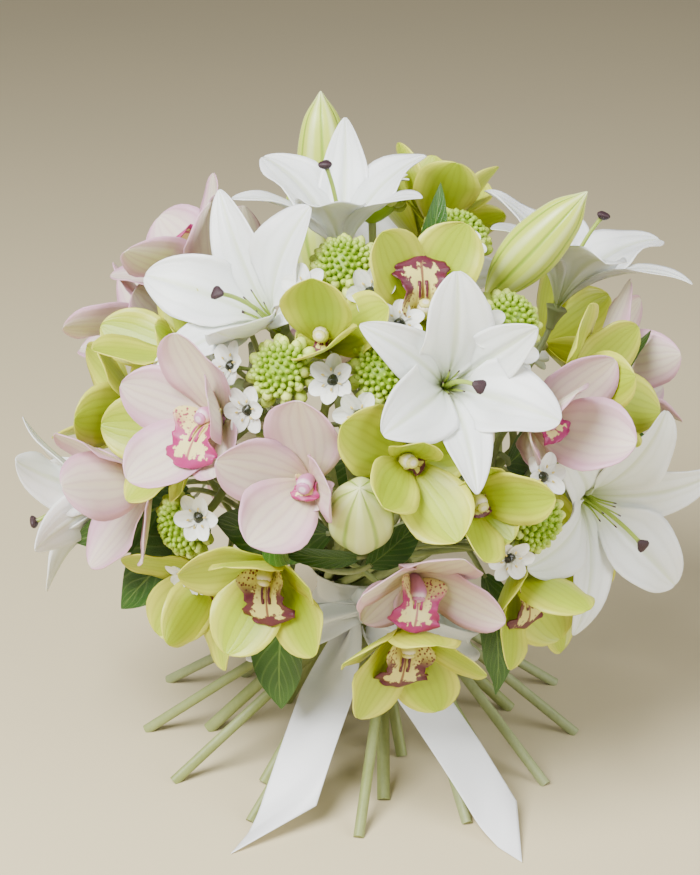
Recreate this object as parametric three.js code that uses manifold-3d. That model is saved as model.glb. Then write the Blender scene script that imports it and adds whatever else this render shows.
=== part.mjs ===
// A hand-tied spiral bouquet of white lilies, green and pink boat orchids, star flowers and
// dark leaves, bound with twine and a white satin ribbon. It stands on its splayed, cut stems.
// Millimetres, +Z up, front towards -Y. The origin is the middle of the footprint, on the table.

import * as THREE from "three";
import Module from "manifold-3d";

const wasm = await Module();
wasm.setup();
const { Manifold, Mesh: SolidMesh } = wasm;

// ---------------------------------------------------------------- driving dimensions

const TIE_HEIGHT = 113; // where the stems cross and are bound
const DOME = new THREE.Vector3(5, 0, 228); // middle of the ball of flowers
const GAP = 0.35; // between two pieces that touch
const SEAT = 0.55; // between a flower and the flat end of the stalk that carries it
const PETAL_CLEARANCE = 0.9; // between the petals of two flowers
const BLADE_GAP = 0.3; // between the free parts of petals of one flower

// The stems lie in nested rings that all twist the same way. Splay is from the vertical.
const STEM_RINGS = {
  outer: { radius: 24.5, count: 13, first: 4, splay: 54, thickness: 6.5, top: 182 },
  middle: { radius: 15, count: 8, first: 0, splay: 44.5, thickness: 7.9, top: 220 },
  inner: { radius: 7.1, count: 5, first: -14, splay: 28, thickness: 7, top: 262 },
  centre: { radius: 0, count: 1, first: 0, splay: 3, thickness: 6.4, top: 292 },
};
const STEM_SIDES = 6;

const PEDICEL = {
  radius: 2,
  sides: 4,
  steps: 3,
  drops: [3, 13, 23, 33, 43, 53, 63], // joints tried, down from the top of the stalk
  lowest: 131, // no joint below this height
  bends: [26, 40, 14, 56, 70], // how far the curve holds its direction at the flower
  leaving: 0.6, // how much of that it holds its direction at the stalk
  swings: [0, 12, -12, 26, -26, 40, -40], // how far it swings aside
};

// Petals: along runs from root to tip and across from -1 to 1. Lift is the angle out of the
// flower's plane at the root, curl the turn from root to tip, cup the hollow across the blade.
// Slim and blunt shape the outline: a slim root and a blunt tip.
const SEPAL = { length: 60, width: 38, lift: 30, curl: 14, cup: 0.2, slim: 1.35, blunt: 0.6 };
const PETAL = { length: 57, width: 33, lift: 36, curl: 10, cup: 0.16, slim: 1.35, blunt: 0.65 };
const ORCHID_TURNS = [90, 18, -54, 234, 162]; // upper sepal, petal, two lower sepals, petal
const ORCHID_SHAPES = [SEPAL, PETAL, SEPAL, SEPAL, PETAL];
const FINE_STATIONS = [0.26, 0.56, 0.86]; // for the blooms in the middle of the front
const PLAIN_STATIONS = [0.36, 0.8];
const FINE_WITHIN = 14; // degrees of azimuth
const LIPS_WITHIN = 100; // the blooms behind are left plain, without a lip
const ORCHID_HEART = { radius: 6.2, rise: 2.6 }; // where neighbouring petals part
const GREEN_SCALE = 1.1;
const PINK_SCALE = 1.2; // the pink orchids are a little larger than the green ones
const LIP = { length: 38, lift: 76, curl: -84, lean: 0.7 };
// Share of the way along the lip, half its width there, how far its edges stand up.
const LIP_ROWS = [[0.36, 13.5, 10], [0.56, 9.5, 4], [0.78, 14, -2]];
const LIP_ROOT = 3; // height of the lip's root on the column
const COLUMN = 20;
const OVARY = 11;
const FREE_FROM = 0.24; // the free part of a petal, along it
const FREE_STATIONS = [0.32, 0.56, 0.82];
const TIGHT_PETAL = { length: 20, width: 14, lift: 34 }; // where a petal has no room

// A lily's tepals are joined in a trumpet up to its mouth and free beyond it.
const TEPALS = [
  { length: 106, width: 33, lift: 74, curl: -78, cup: 0.2, slim: 0.62, blunt: 0.72 },
  { length: 102, width: 45, lift: 76, curl: -72, cup: 0.22, slim: 0.62, blunt: 0.6 },
];
const TRUMPET = { mouth: 0.4, waist: 0.2, ridge: 0.86 };
const TEPAL_STATIONS = [0.62, 0.84];
const TIGHT_TEPAL = { bend: 90, share: 0.5 }; // where a tepal has no room
const LILY_NECK = 12; // length of the neck behind the trumpet
const PISTIL = { length: 66, radii: [2.4, 1.5, 1.5], bend: 9, stigma: 4.6 };
const LILY_BUD = { sides: 7 };
const BUD_PROFILE = [[0.05, 0.3], [0.22, 0.78], [0.48, 1], [0.78, 0.72], [0.95, 0.2]];

// Rings of a star-flower head from its foot up: height, radius. Buds stand in all but the first.
const HEAD_RINGS = [[-9, 9], [-3, 17], [4, 18], [10.5, 13], [15, 6.5]];
const HEAD = { foot: -13, top: 18.5, sides: 6, bud: 4.6 };
const STAR = {
  radius: 16, notch: 7.4, cup: 3, dip: 0.8, thickness: 0.9, ovary: [3.6, 4.2], stalk: 1.6,
  away: 31, rise: 10.2, lean: 0.45, // where it stands off its head's axis and how it leans out
  root: 10.2, // how far out its stalk starts in the head
  turns: [0, 14, -14, 28, -28], // tried until it is clear
};

const BROAD_LEAF = { length: 88, width: 46, lift: 4, curl: -34, cup: 0.16, slim: 0.75, blunt: 0.95 };
const LILY_LEAF = { length: 70, width: 18, lift: 6, curl: -42, cup: 0.2, slim: 0.7, blunt: 1 };
const LEAF_STATIONS = [0.26, 0.64];

const BLADE_THICKNESS = 0.85;
const NARROWING = 0.6; // how much of a blade's shortening its width follows
const LIFT_STEPS = [0, 8, -8, 16, -16, 24, 32]; // tried in turn until a blade is clear
const TEPAL_STEPS = [0, 14, -14, 28, -28, 42, 56, 70]; // the same for the free end of a tepal
const LENGTH_STEPS = [1, 0.87, 0.74, 0.6, 0.45, 0.32];
const LIP_STEPS = [0, 8, 16, 24, -8, 32];

const TWINE = { height: 7, thickness: 1.6 };
const RIBBON = { width: 38, thickness: 0.8 };
const BAND = { height: 26, sides: 16 };
const KNOT = { depth: 7, height: 26, rings: [[-12.5, 3], [-4.2, 8], [4.2, 8], [12.5, 3]] };
const BOW_LOOPS = [
  { root: [3, -44, 112], end: [78, -60, 90], depth: 6.5, width: 30 },
  { root: [-3, -44, 112], end: [-76, -62, 98], depth: 6.5, width: 30 },
];
// Share of the way out, side of the loop, share of its width.
const BOW_LOOP = [
  [0, 0.25, 0.45], [0.3, 0.9, 0.8], [0.62, 1, 1], [0.9, 0.7, 1],
  [1, 0, 1], [0.9, -0.7, 1], [0.62, -1, 1], [0.3, -0.9, 0.8], [0, -0.25, 0.45],
];
// The tails run from the knot over the stems to the table. The slant is half the diagonal cut,
// which the rows past its share of the way take up bit by bit.
const TAILS = {
  left: { root: [-5.5, -39.6], tip: [-58.2, -160.4], slant: 26 },
  right: { root: [4.8, -40.1], tip: [104.1, -157.5], slant: 22 },
};
const TAIL_CUT_FROM = 0.36;
// Share of the way to the tip, height, share of the ribbon's width.
const TAIL_DROP = [
  [0, 99.4, 0.3], [0.12, 90, 0.66], [0.36, 67, 1], [0.58, 43, 1],
  [0.76, 22, 1], [0.88, 8, 1], [1, 0.42, 1],
];

// ---------------------------------------------------------------- where the flowers stand
// A place is [azimuth, elevation, reach, turn aside, tilt up, roll]: the first three from the
// middle of the dome (azimuth 0 is the front, 90 the right), the rest from facing straight out.

const GREEN_SPRAYS = [
  { ring: "outer", heading: 4, blooms: [
    [-23, -12, 158, 2, -4, 10], [9, -30, 162, 0, -6, -10], [8, 15, 160, 2, 4, 60]] },
  { ring: "outer", heading: 36, blooms: [
    [22, 5, 160, 4, 0, 0], [40, -20, 154, 2, -6, 0], [62, -28, 154, 0, -6, 40]] },
  { ring: "outer", heading: -60, blooms: [
    [-45, -22, 156, -4, -8, -10], [-78, 10, 156, 0, 0, 60], [-52, 13, 146, 0, 0, 100]] },
  { ring: "middle", heading: -90, blooms: [
    [-15, 42, 150, 4, -6, 0], [-60, 30, 158, 0, 4, 30], [16, 48, 158, 0, -6, 180]] },
  { ring: "outer", heading: 152, blooms: [
    [152, -6, 155, 0, 0, 30], [122, 14, 152, 0, 0, 120], [118, -26, 150, 0, -6, 200]] },
  { ring: "inner", heading: 140, blooms: [
    [59, 22, 160, 0, 0, 10], [142, 62, 148, 0, 0, 40], [160, 44, 152, 0, 0, 80]] },
];

const PINK_SPRAYS = [
  { ring: "middle", heading: 0, blooms: [
    [-13, 10, 162, -2, 2, 0], [10, -15, 154, 0, -4, -20], [-37, 20, 164, -2, 0, 10]] },
  { ring: "middle", heading: -135, blooms: [
    [-60, -1, 165, -4, 0, 170], [-96, 28, 160, 0, 0, 20], [-88, 47, 156, 0, 0, 100]] },
  { ring: "outer", heading: 92, blooms: [
    [42, 18, 158, -4, 0, 20], [86, 18, 158, 0, 0, 10], [96, -12, 152, 0, 0, 140]] },
  { ring: "outer", heading: -178, blooms: [
    [-176, 4, 155, 0, 0, 20], [-140, 22, 152, 0, 0, 160], [-146, -20, 150, 0, -6, 60]] },
];

// Lily blooms are placed by their base. Open is added to the lift of their tepals and close to
// the bend of their free ends.
const LILY_STEMS = [
  { ring: "centre", heading: 0,
    blooms: [{ at: [-60, 80, 118, 20, 4, 0], open: 8, close: 0 },
      { at: [-46, 49, 121, 8, -8, 5], open: 2, close: 0 }],
    buds: [{ at: [-150, 66, 146, 0, 20, 0], length: 92, radius: 17 }],
    leaves: [{ at: [30, 62, 140], heading: [34, 66], roll: 0 }] },
  { ring: "middle", heading: 44,
    blooms: [{ at: [24, 32, 128, -12, -5, 30], open: 8, close: 0 },
      { at: [95, 33, 152, 0, 40, 0], open: -2, close: 0 }],
    buds: [{ at: [-2, -6, 148, 0, 52, 0], length: 86, radius: 20 },
      { at: [62, 52, 140, 14, -2, 0], length: 98, radius: 17 }],
    leaves: [{ at: [-2, -11, 147], heading: [-84, 0], roll: 0, size: 0.85 }] },
  { ring: "outer", heading: 62,
    blooms: [{ at: [70, -9, 148, -38, 6, 10], open: -6, close: 0 }],
    buds: [],
    leaves: [{ at: [78, 8, 140], heading: [80, -4], roll: 0 }] },
  { ring: "outer", heading: -86,
    blooms: [{ at: [-78, -11, 156, -6, 2, 0], open: 10, close: 16 },
      { at: [-128, 2, 116, 0, 0, 30], open: 0, close: 0 }],
    buds: [{ at: [-160, 34, 124, 0, 30, 0], length: 92, radius: 18 }],
    leaves: [] },
  { ring: "outer", heading: -148,
    blooms: [{ at: [168, 22, 116, 0, 0, 0], open: 0, close: 0 }],
    buds: [],
    leaves: [{ at: [150, -20, 140], heading: [150, -60], roll: 0 }] },
];

// Star-flower heads: place of the head, then the turns about it at which flowers stand open.
const STAR_HEADS = [
  { ring: "inner", heading: 0, at: [-11, 60, 164, 0, -8, 0], open: [-40, 40] },
  { ring: "inner", heading: 72, at: [3, 34, 162, 0, 0, 0], open: [160, -80, -30] },
  { ring: "inner", heading: -72, at: [-23, 33, 164, 0, 0, 0], open: [-25, -85] },
  { ring: "middle", heading: -45, at: [-45, -6, 166, 0, 0, 0], open: [15, 125] },
  { ring: "middle", heading: 90, at: [43, 41, 166, 0, 4, 0], open: [-90, -40] },
  { ring: "inner", heading: 144, at: [58, 66, 162, 0, 0, 0], open: [-60, 20] },
  { ring: "middle", heading: 45, at: [37, -2, 168, 0, 4, 0], open: [-60, 180] },
  { ring: "middle", heading: 180, at: [178, 64, 158, 0, 0, 0], open: [60, 200] },
  { ring: "outer", heading: 120, at: [134, -6, 154, 0, 0, 0], open: [60, 180] },
];

// Size is a share of a full broad leaf. The leaves that stand deep fill the gaps between flowers.
const LEAFY_STEMS = [
  { ring: "outer", heading: -30, leaves: [
    { at: [-58, -18, 132], heading: [-74, -34], roll: 10, size: 1 },
    { at: [-72, -12, 130], heading: [-96, -20], roll: -20, size: 1 },
    { at: [-24, 2, 130], heading: [-10, -2], roll: 0, size: 1 },
    { at: [-30, -34, 128], heading: [-24, -62], roll: 0, size: 1 },
    { at: [-1, -14, 148], heading: [84, 40], roll: 0, size: 0.55 },
    { at: [-12, -12, 120], heading: [-102, -8], roll: 0, size: 1 }] },
  { ring: "outer", heading: 120, leaves: [
    { at: [48, -36, 128], heading: [40, -64], roll: 0, size: 1 },
    { at: [72, 18, 140], heading: [86, 26], roll: 20, size: 0.85 },
    { at: [110, -36, 128], heading: [112, -60], roll: 0, size: 1 },
    { at: [50, 2, 116], heading: [140, 16], roll: 0, size: 1 },
    { at: [14, -4, 118], heading: [104, -4], roll: 0, size: 1 }] },
  { ring: "outer", heading: -118, leaves: [
    { at: [-110, -24, 130], heading: [-112, -50], roll: 0, size: 1 },
    { at: [-176, -30, 128], heading: [-176, -60], roll: 0, size: 1 },
    { at: [-140, 0, 136], heading: [-156, -6], roll: 0, size: 1 },
    { at: [-70, -2, 118], heading: [-160, 12], roll: 0, size: 1 }] },
];

// ---------------------------------------------------------------- small helpers

const UP = new THREE.Vector3(0, 0, 1);
const rad = THREE.MathUtils.degToRad;

function outward(azimuth, elevation) {
  const level = Math.cos(rad(elevation));
  return new THREE.Vector3(
    level * Math.sin(rad(azimuth)),
    -level * Math.cos(rad(azimuth)),
    Math.sin(rad(elevation)),
  );
}

function step(point, direction, distance) {
  return point.clone().addScaledVector(direction, distance);
}

// A frame at a point whose Z axis faces one way and whose Y axis is the steepest way up, rolled.
function frameFacing(point, facing, roll = 0) {
  const side = new THREE.Vector3().crossVectors(UP, facing).normalize();
  const rise = new THREE.Vector3().crossVectors(facing, side);
  const frame = new THREE.Matrix4().makeBasis(side, rise, facing);
  frame.multiply(new THREE.Matrix4().makeRotationZ(rad(roll)));
  return frame.setPosition(point);
}

function place([azimuth, elevation, reach, aside = 0, tilt = 0, roll = 0]) {
  const point = step(DOME, outward(azimuth, elevation), reach);
  const facing = outward(azimuth + aside, elevation + tilt);
  return { point, facing, frame: frameFacing(point, facing, roll) };
}

function solid(points, triangles) {
  const vertProperties = new Float32Array(points.flatMap((p) => [p.x, p.y, p.z]));
  const triVerts = new Uint32Array(triangles.flat());
  return new Manifold(new SolidMesh({ numProp: 3, vertProperties, triVerts }));
}

// A closed thin solid through a sheet of samples: points, their normals and, where it isn't a
// blade's thickness, how far it stands above and below them. The loop is its edge, anticlockwise.
function thinSolid(samples, triangles, loop, thickness = BLADE_THICKNESS) {
  const count = samples.length;
  const half = thickness / 2;
  const upper = samples.map(({ point, normal, above = half }) => step(point, normal, above));
  const lower = samples.map(({ point, normal, below = half }) => step(point, normal, -below));
  const faces = triangles.flatMap(([a, b, c]) => [[a, b, c], [a + count, c + count, b + count]]);
  loop.forEach((a, i) => {
    const b = loop[(i + 1) % loop.length];
    faces.push([a, a + count, b + count], [a, b + count, b]);
  });
  return solid([...upper, ...lower], faces);
}

// A tube through points, with its own radius at each. Its ends are flat, the last one square
// to the facing if one is given.
function tube(points, radii, sides, facing) {
  const rings = [];
  let normal = null;
  points.forEach((point, i) => {
    const before = points[Math.max(i - 1, 0)];
    const after = points[Math.min(i + 1, points.length - 1)];
    const last = i === points.length - 1;
    const along = last && facing ? facing : after.clone().sub(before).normalize();
    const seed = normal ?? (Math.abs(along.z) < 0.9 ? UP : new THREE.Vector3(1, 0, 0));
    normal = seed.clone().addScaledVector(along, -seed.dot(along)).normalize();
    const binormal = new THREE.Vector3().crossVectors(along, normal);
    for (let k = 0; k < sides; k++) {
      const turn = (2 * Math.PI * k) / sides;
      const spoke = normal.clone().multiplyScalar(Math.cos(turn)).addScaledVector(binormal, Math.sin(turn));
      rings.push(step(point, spoke, radii[Math.min(i, radii.length - 1)]));
    }
  });
  const faces = [];
  for (let i = 0; i + 1 < points.length; i++) {
    for (let k = 0; k < sides; k++) {
      const a = i * sides + k;
      const b = i * sides + ((k + 1) % sides);
      faces.push([a, b, b + sides], [a, b + sides, a + sides]);
    }
  }
  const last = (points.length - 1) * sides;
  for (let k = 1; k + 1 < sides; k++) {
    faces.push([0, k + 1, k], [last, last + k, last + k + 1]);
  }
  return solid(rings, faces);
}

// ---------------------------------------------------------------- petals and leaves

function halfWidth({ width, slim, blunt, share = 1 }, along) {
  const widest = slim / (slim + blunt);
  const profile = (t) => Math.pow(t, slim) * Math.pow(1 - t, blunt);
  const narrowed = 1 - NARROWING * (1 - share);
  return (((width / 2) * profile(along)) / profile(widest)) * narrowed;
}

// The middle line of a blade that grows out from its flower's axis along X: it starts at an
// angle to the flower's plane and turns evenly.
function bladeLine(start, bend, length, along) {
  const turn = rad(bend) || 1e-3;
  const angle = rad(start) + turn * along;
  const radius = (length / turn) * (Math.sin(angle) - Math.sin(rad(start)));
  const rise = (length / turn) * (Math.cos(rad(start)) - Math.cos(angle));
  return { point: new THREE.Vector3(radius, 0, rise), angle };
}

// A point off a middle line, hollowed across the blade, and the blade's normal there.
function offLine({ point, angle }, half, across, cup) {
  const normal = new THREE.Vector3(-Math.sin(angle), 0, Math.cos(angle));
  point.addScaledVector(normal, cup * half * across * across);
  point.y += half * across;
  normal.y = -2 * cup * across;
  return { point, normal: normal.normalize() };
}

function bladePoint(shape, along, across) {
  const line = bladeLine(shape.lift, shape.curl, shape.length * (shape.share ?? 1), along);
  return offLine(line, halfWidth(shape, along), across, shape.cup);
}

function rowCells(stations) {
  return stations.flatMap((along) => [[along, -1], [along, 0], [along, 1]]);
}

// Triangles of rows of three points that end in one point, split alike on both sides.
function rowTriangles(first, tip) {
  const triangles = [];
  for (let a = first; a + 3 < tip; a += 3) {
    triangles.push([a, a + 3, a + 4], [a, a + 4, a + 1]);
    triangles.push([a + 1, a + 4, a + 2], [a + 4, a + 5, a + 2]);
  }
  triangles.push([tip - 3, tip, tip - 2], [tip - 2, tip, tip - 1]);
  return triangles;
}

// A thin solid through samples: one at the root, rows of three, one at the tip.
function bladeSolid(samples) {
  const tip = samples.length - 1;
  const triangles = [[0, 1, 2], [0, 2, 3], ...rowTriangles(1, tip)];
  const rights = [];
  for (let a = 1; a < tip; a += 3) {
    rights.push(a);
  }
  const loop = [0, ...rights, tip, ...rights.map((a) => a + 2).reverse()];
  return thinSolid(samples, triangles, loop);
}

function curvedBlade(shape, stations, root = 0) {
  const cells = [[root, 0], ...rowCells(stations), [1, 0]];
  return bladeSolid(cells.map(([along, across]) => bladePoint(shape, along, across)));
}

function turned(frame, turn) {
  return frame.clone().multiply(new THREE.Matrix4().makeRotationZ(rad(turn)));
}

function spun({ point, normal }, turn) {
  const spin = new THREE.Matrix4().makeRotationZ(rad(turn));
  return { point: point.applyMatrix4(spin), normal: normal.transformDirection(spin) };
}

// ---------------------------------------------------------------- keeping pieces clear

const nodes = new Map(); // node name to its material and the solids that are fused in it
const NEARLY = 0.999; // a gap that is measured only this far short counts as kept

function near(a, b, reach) {
  return [0, 1, 2].every((k) => a.min[k] - reach < b.max[k] && b.min[k] - reach < a.max[k]);
}

// True where a solid is at least the clearance away from every finished piece but those it joins.
function isClear(shape, clearance, joined = []) {
  const box = shape.boundingBox();
  for (const { pieces } of nodes.values()) {
    for (const other of pieces) {
      const apart = joined.includes(other.shape) || !near(box, other.box, clearance);
      if (!apart && shape.minGap(other.shape, clearance) < clearance * NEARLY) {
        return false;
      }
    }
  }
  return true;
}

function claim(name, material, shapes) {
  const node = nodes.get(name) ?? { material, pieces: [] };
  node.pieces.push(...shapes.map((shape) => ({ shape, box: shape.boundingBox() })));
  nodes.set(name, node);
}

// The blade is lifted or lowered, then shortened, until it is clear of the other flowers and
// of the blades beside it.
function clearShape(shape, frame, make, beside = [], lifts = LIFT_STEPS, bent = "lift") {
  for (const share of LENGTH_STEPS) {
    for (const change of lifts) {
      const tried = { ...shape, [bent]: shape[bent] + change, share };
      const blade = make(tried).transform(frame.elements);
      const free = beside.every((other) => blade.minGap(other, BLADE_GAP) >= BLADE_GAP * NEARLY);
      if (free && isClear(blade, PETAL_CLEARANCE)) {
        beside.push(blade);
        return tried;
      }
    }
  }
  return null;
}

// ---------------------------------------------------------------- stems

const takenSlots = new Set();

// The free place in a ring whose stem heads nearest to the wanted azimuth.
function stemLine(ringName, heading) {
  const ring = STEM_RINGS[ringName];
  const slots = [...Array(ring.count).keys()].filter((slot) => !takenSlots.has(`${ringName} ${slot}`));
  const azimuthOf = (slot) => ring.first + (360 / ring.count) * slot;
  const away = (slot) => 1 - Math.cos(rad(azimuthOf(slot) - heading));
  const slot = slots.sort((a, b) => away(a) - away(b) || a - b)[0];
  takenSlots.add(`${ringName} ${slot}`);
  const waist = outward(azimuthOf(slot) - 90, 0).multiplyScalar(ring.radius);
  const slope = outward(azimuthOf(slot), 0).multiplyScalar(Math.tan(rad(ring.splay)));
  const at = (height) => waist.clone().addScaledVector(slope, height - TIE_HEIGHT).setZ(height);
  return { ring, at, direction: at(1).sub(at(0)).normalize() };
}

// Cut flat where it stands: the stalk is made too long and trimmed at the table.
function stalk(line) {
  const radius = line.ring.thickness / 2;
  return tube([line.at(-8), line.at(line.ring.top)], [radius], STEM_SIDES).trimByPlane([0, 0, 1], 0);
}

function pedicelPath(line, height, end, facing, reach, swing) {
  const start = line.at(height);
  const aside = new THREE.Vector3().crossVectors(line.direction, facing).normalize();
  const curve = new THREE.CubicBezierCurve3(
    start,
    step(start, line.direction, reach * PEDICEL.leaving).addScaledVector(aside, swing),
    step(end, facing, -reach).addScaledVector(aside, swing),
    end,
  );
  return curve.getPoints(PEDICEL.steps);
}

// Tries joints down the stalk and tighter or wider bends until the pedicel is clear. It may
// touch its stalk and its flower and, where there is no other way, the rest of its spray.
function pedicel({ name, line, end, facing, joins = [], radius = PEDICEL.radius }) {
  const own = nodes.get(name).pieces.map((piece) => piece.shape);
  const heights = PEDICEL.drops.map((drop) => line.ring.top - drop).filter((h) => h > PEDICEL.lowest);
  for (const joined of [[own[0], ...joins], own]) {
    for (const swing of PEDICEL.swings) {
      for (const reach of PEDICEL.bends) {
        for (const height of heights) {
          const path = pedicelPath(line, height, end, facing, reach, swing);
          const shape = tube(path, [radius], PEDICEL.sides, facing);
          if (isClear(shape, GAP, joined)) {
            return [shape];
          }
        }
      }
    }
  }
  return [];
}

// ---------------------------------------------------------------- flowers

// A closed solid of revolution about Z between two points, through rings of [height, radius].
function spindle(bottom, rings, top, sides) {
  const points = [new THREE.Vector3(0, 0, bottom)];
  for (const [height, radius] of rings) {
    for (let k = 0; k < sides; k++) {
      const turn = (2 * Math.PI * k) / sides;
      points.push(new THREE.Vector3(radius * Math.cos(turn), radius * Math.sin(turn), height));
    }
  }
  points.push(new THREE.Vector3(0, 0, top));
  const last = points.length - 1;
  const faces = [];
  for (let k = 0; k < sides; k++) {
    const next = (k + 1) % sides;
    faces.push([0, 1 + next, 1 + k]);
    for (let a = 1; a + sides < last; a += sides) {
      faces.push([a + k, a + next, a + next + sides], [a + k, a + next + sides, a + k + sides]);
    }
    faces.push([last, last - sides + k, last - sides + next]);
  }
  return solid(points, faces);
}

// Five petals part from one small disc, in one thin solid. Its middle stands up as the column
// and runs out behind as the ovary.
function orchidPlate(shapes, stations) {
  const count = ORCHID_TURNS.length;
  const { radius, rise } = ORCHID_HEART;
  const samples = [{ point: new THREE.Vector3(), normal: UP.clone(), above: COLUMN, below: OVARY }];
  for (const turn of ORCHID_TURNS) {
    samples.push(spun({ point: new THREE.Vector3(radius, 0, rise), normal: UP.clone() }, turn + 36));
  }
  const triangles = [];
  const loop = [];
  ORCHID_TURNS.forEach((turn, k) => {
    const add = ([along, across]) => samples.push(spun(bladePoint(shapes[k], along, across), turn)) - 1;
    const heart = add([0.5, 0]);
    const right = stations.map((along) => add([along, -1]));
    const tip = add([1, 0]);
    const left = stations.map((along) => add([along, 1])).reverse();
    const before = 1 + ((k + 1) % count);
    const after = 1 + k;
    const edge = [before, ...right, tip, ...left, after];
    edge.slice(0, -1).forEach((a, i) => triangles.push([heart, a, edge[i + 1]]));
    triangles.push([heart, after, 0], [heart, 0, before]);
    loop.unshift(...edge.slice(0, -1));
  });
  return thinSolid(samples, triangles, loop);
}

function lipBlade(shape) {
  const { share = 1 } = shape;
  const sample = (along, aside, rise) => {
    const { point, angle } = bladeLine(shape.lift, shape.curl, shape.length * share, along);
    const normal = new THREE.Vector3(-Math.sin(angle), 0, Math.cos(angle));
    point.addScaledVector(normal, rise).setY(aside);
    normal.y = aside === 0 ? 0 : (-rise / aside) * LIP.lean;
    return { point, normal: normal.normalize() };
  };
  const rows = LIP_ROWS.flatMap(([along, half, rise]) => [
    sample(along, -half * share, rise * share),
    sample(along, 0, 0),
    sample(along, half * share, rise * share),
  ]);
  return bladeSolid([sample(0, 0, 0), ...rows, sample(1, 0, 0)]);
}

function orchid(name, material, at, scale) {
  const { frame } = place(at);
  const away = Math.abs(at[0]);
  frame.scale(new THREE.Vector3(scale, scale, scale));
  const make = (shape) => curvedBlade(shape, FREE_STATIONS, FREE_FROM);
  const beside = [];
  const shapes = ORCHID_SHAPES.map((shape, i) => {
    const found = clearShape(shape, turned(frame, ORCHID_TURNS[i]), make, beside);
    return found ?? { ...shape, ...TIGHT_PETAL };
  });
  const hinge = new THREE.Matrix4().makeTranslation(0, 0, LIP_ROOT);
  const lipFrame = frame.clone().multiply(hinge).multiply(new THREE.Matrix4().makeRotationZ(rad(270)));
  const lipShape = away < LIPS_WITHIN ? clearShape(LIP, lipFrame, lipBlade, beside, LIP_STEPS) : null;
  const lip = lipShape ? [lipBlade(lipShape).transform(lipFrame.elements)] : [];
  const stations = away < FINE_WITHIN ? FINE_STATIONS : PLAIN_STATIONS;
  const plate = orchidPlate(shapes, stations).transform(frame.elements);
  claim(name, material, [plate, ...lip]);
  return plate;
}

// ---------------------------------------------------------------- lilies

// Beyond the mouth the middle line leaves the trumpet at its angle and turns by its own bend.
function tepalLine(shape, along) {
  const { mouth } = TRUMPET;
  const trunk = bladeLine(shape.lift, shape.curl * mouth, shape.length * mouth, Math.min(along / mouth, 1));
  if (along <= mouth) {
    return trunk;
  }
  const free = 1 - mouth;
  const start = THREE.MathUtils.radToDeg(trunk.angle);
  const bend = shape.curl * free + shape.bend;
  const end = bladeLine(start, bend, shape.length * free * (shape.share ?? 1), (along - mouth) / free);
  return { point: trunk.point.add(end.point), angle: end.angle };
}

function tepalPoint(shape, along, across) {
  return offLine(tepalLine(shape, along), halfWidth(shape, along), across, shape.cup);
}

// Where the tepals are joined, the seam between two of them lies a little inside their middles.
function trumpetRing(shapes, along) {
  return shapes.flatMap((shape, k) => {
    const { point, angle } = tepalLine(shape, along);
    const seam = new THREE.Vector3((point.x * TRUMPET.ridge) / Math.cos(rad(30)), 0, point.z);
    const normal = new THREE.Vector3(-Math.sin(angle), 0, Math.cos(angle));
    return [spun({ point, normal: normal.clone() }, 60 * k), spun({ point: seam, normal }, 60 * k + 30)];
  });
}

function lilyTrumpet(shapes) {
  const samples = [{ point: new THREE.Vector3(), normal: UP.clone(), below: LILY_NECK }];
  samples.push(...trumpetRing(shapes, TRUMPET.waist), ...trumpetRing(shapes, TRUMPET.mouth));
  const triangles = [];
  const loop = [];
  for (let k = 0; k < 12; k++) {
    const a = 1 + k;
    const b = 1 + ((k + 1) % 12);
    triangles.push([0, a, b], [a, a + 12, b + 12], [a, b + 12, b]);
  }
  shapes.forEach((shape, k) => {
    const first = samples.length;
    for (const [along, across] of [...rowCells(TEPAL_STATIONS), [1, 0]]) {
      samples.push(spun(tepalPoint(shape, along, across), 60 * k));
    }
    const tip = samples.length - 1;
    const middle = 13 + 2 * k;
    const right = 13 + ((2 * k + 11) % 12);
    const left = middle + 1;
    triangles.push([right, first, first + 1], [right, first + 1, middle]);
    triangles.push([middle, first + 1, left], [first + 1, first + 2, left]);
    triangles.push(...rowTriangles(first, tip));
    loop.push(right, first, first + 3, tip, first + 5, first + 2);
  });
  return thinSolid(samples, triangles, loop);
}

// Only the free end of a tepal, to find the bend that keeps it clear.
function tepalEnd(shape) {
  const cells = [[TRUMPET.mouth + 0.06, 0], ...rowCells(TEPAL_STATIONS), [1, 0]];
  return bladeSolid(cells.map(([along, across]) => tepalPoint(shape, along, across)));
}

function lily(name, { at, open, close }) {
  const { frame } = place(at);
  const beside = [];
  const shapes = [0, 1, 2, 3, 4, 5].map((k) => {
    const shape = { ...TEPALS[k % 2], lift: TEPALS[k % 2].lift + open, bend: close };
    const found = clearShape(shape, turned(frame, 60 * k), tepalEnd, beside, TEPAL_STEPS, "bend");
    return found ?? { ...shape, ...TIGHT_TEPAL };
  });
  const trumpet = lilyTrumpet(shapes).transform(frame.elements);
  claim(name, MATERIALS.white, [trumpet]);
}

// The style stands in the throat of its own lily.
function lilyPistil(name, { at }) {
  const { frame } = place(at);
  const { length, bend, radii, stigma } = PISTIL;
  const style = [[0, 0], [0, 0.4], [bend, 1]].map(([aside, along]) => (
    new THREE.Vector3(0, -aside, along * length)));
  const knob = spindle(-3, [[0, stigma]], 2.6, 6).translate([0, -bend, length]);
  const whole = tube(style, radii, 5).add(knob);
  for (let rise = 6; rise < 30; rise += 0.5) {
    const lifted = frame.clone().multiply(new THREE.Matrix4().makeTranslation(0, 0, rise));
    const seated = whole.transform(lifted.elements);
    if (isClear(seated, GAP)) {
      claim(name, MATERIALS.pistil, [seated]);
      return;
    }
  }
}

function lilyBud({ at, length, radius }) {
  const { frame } = place(at);
  const rings = BUD_PROFILE.map(([along, share]) => [along * length, share * radius]);
  return spindle(-2, rings, length, LILY_BUD.sides).transform(frame.elements);
}

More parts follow.
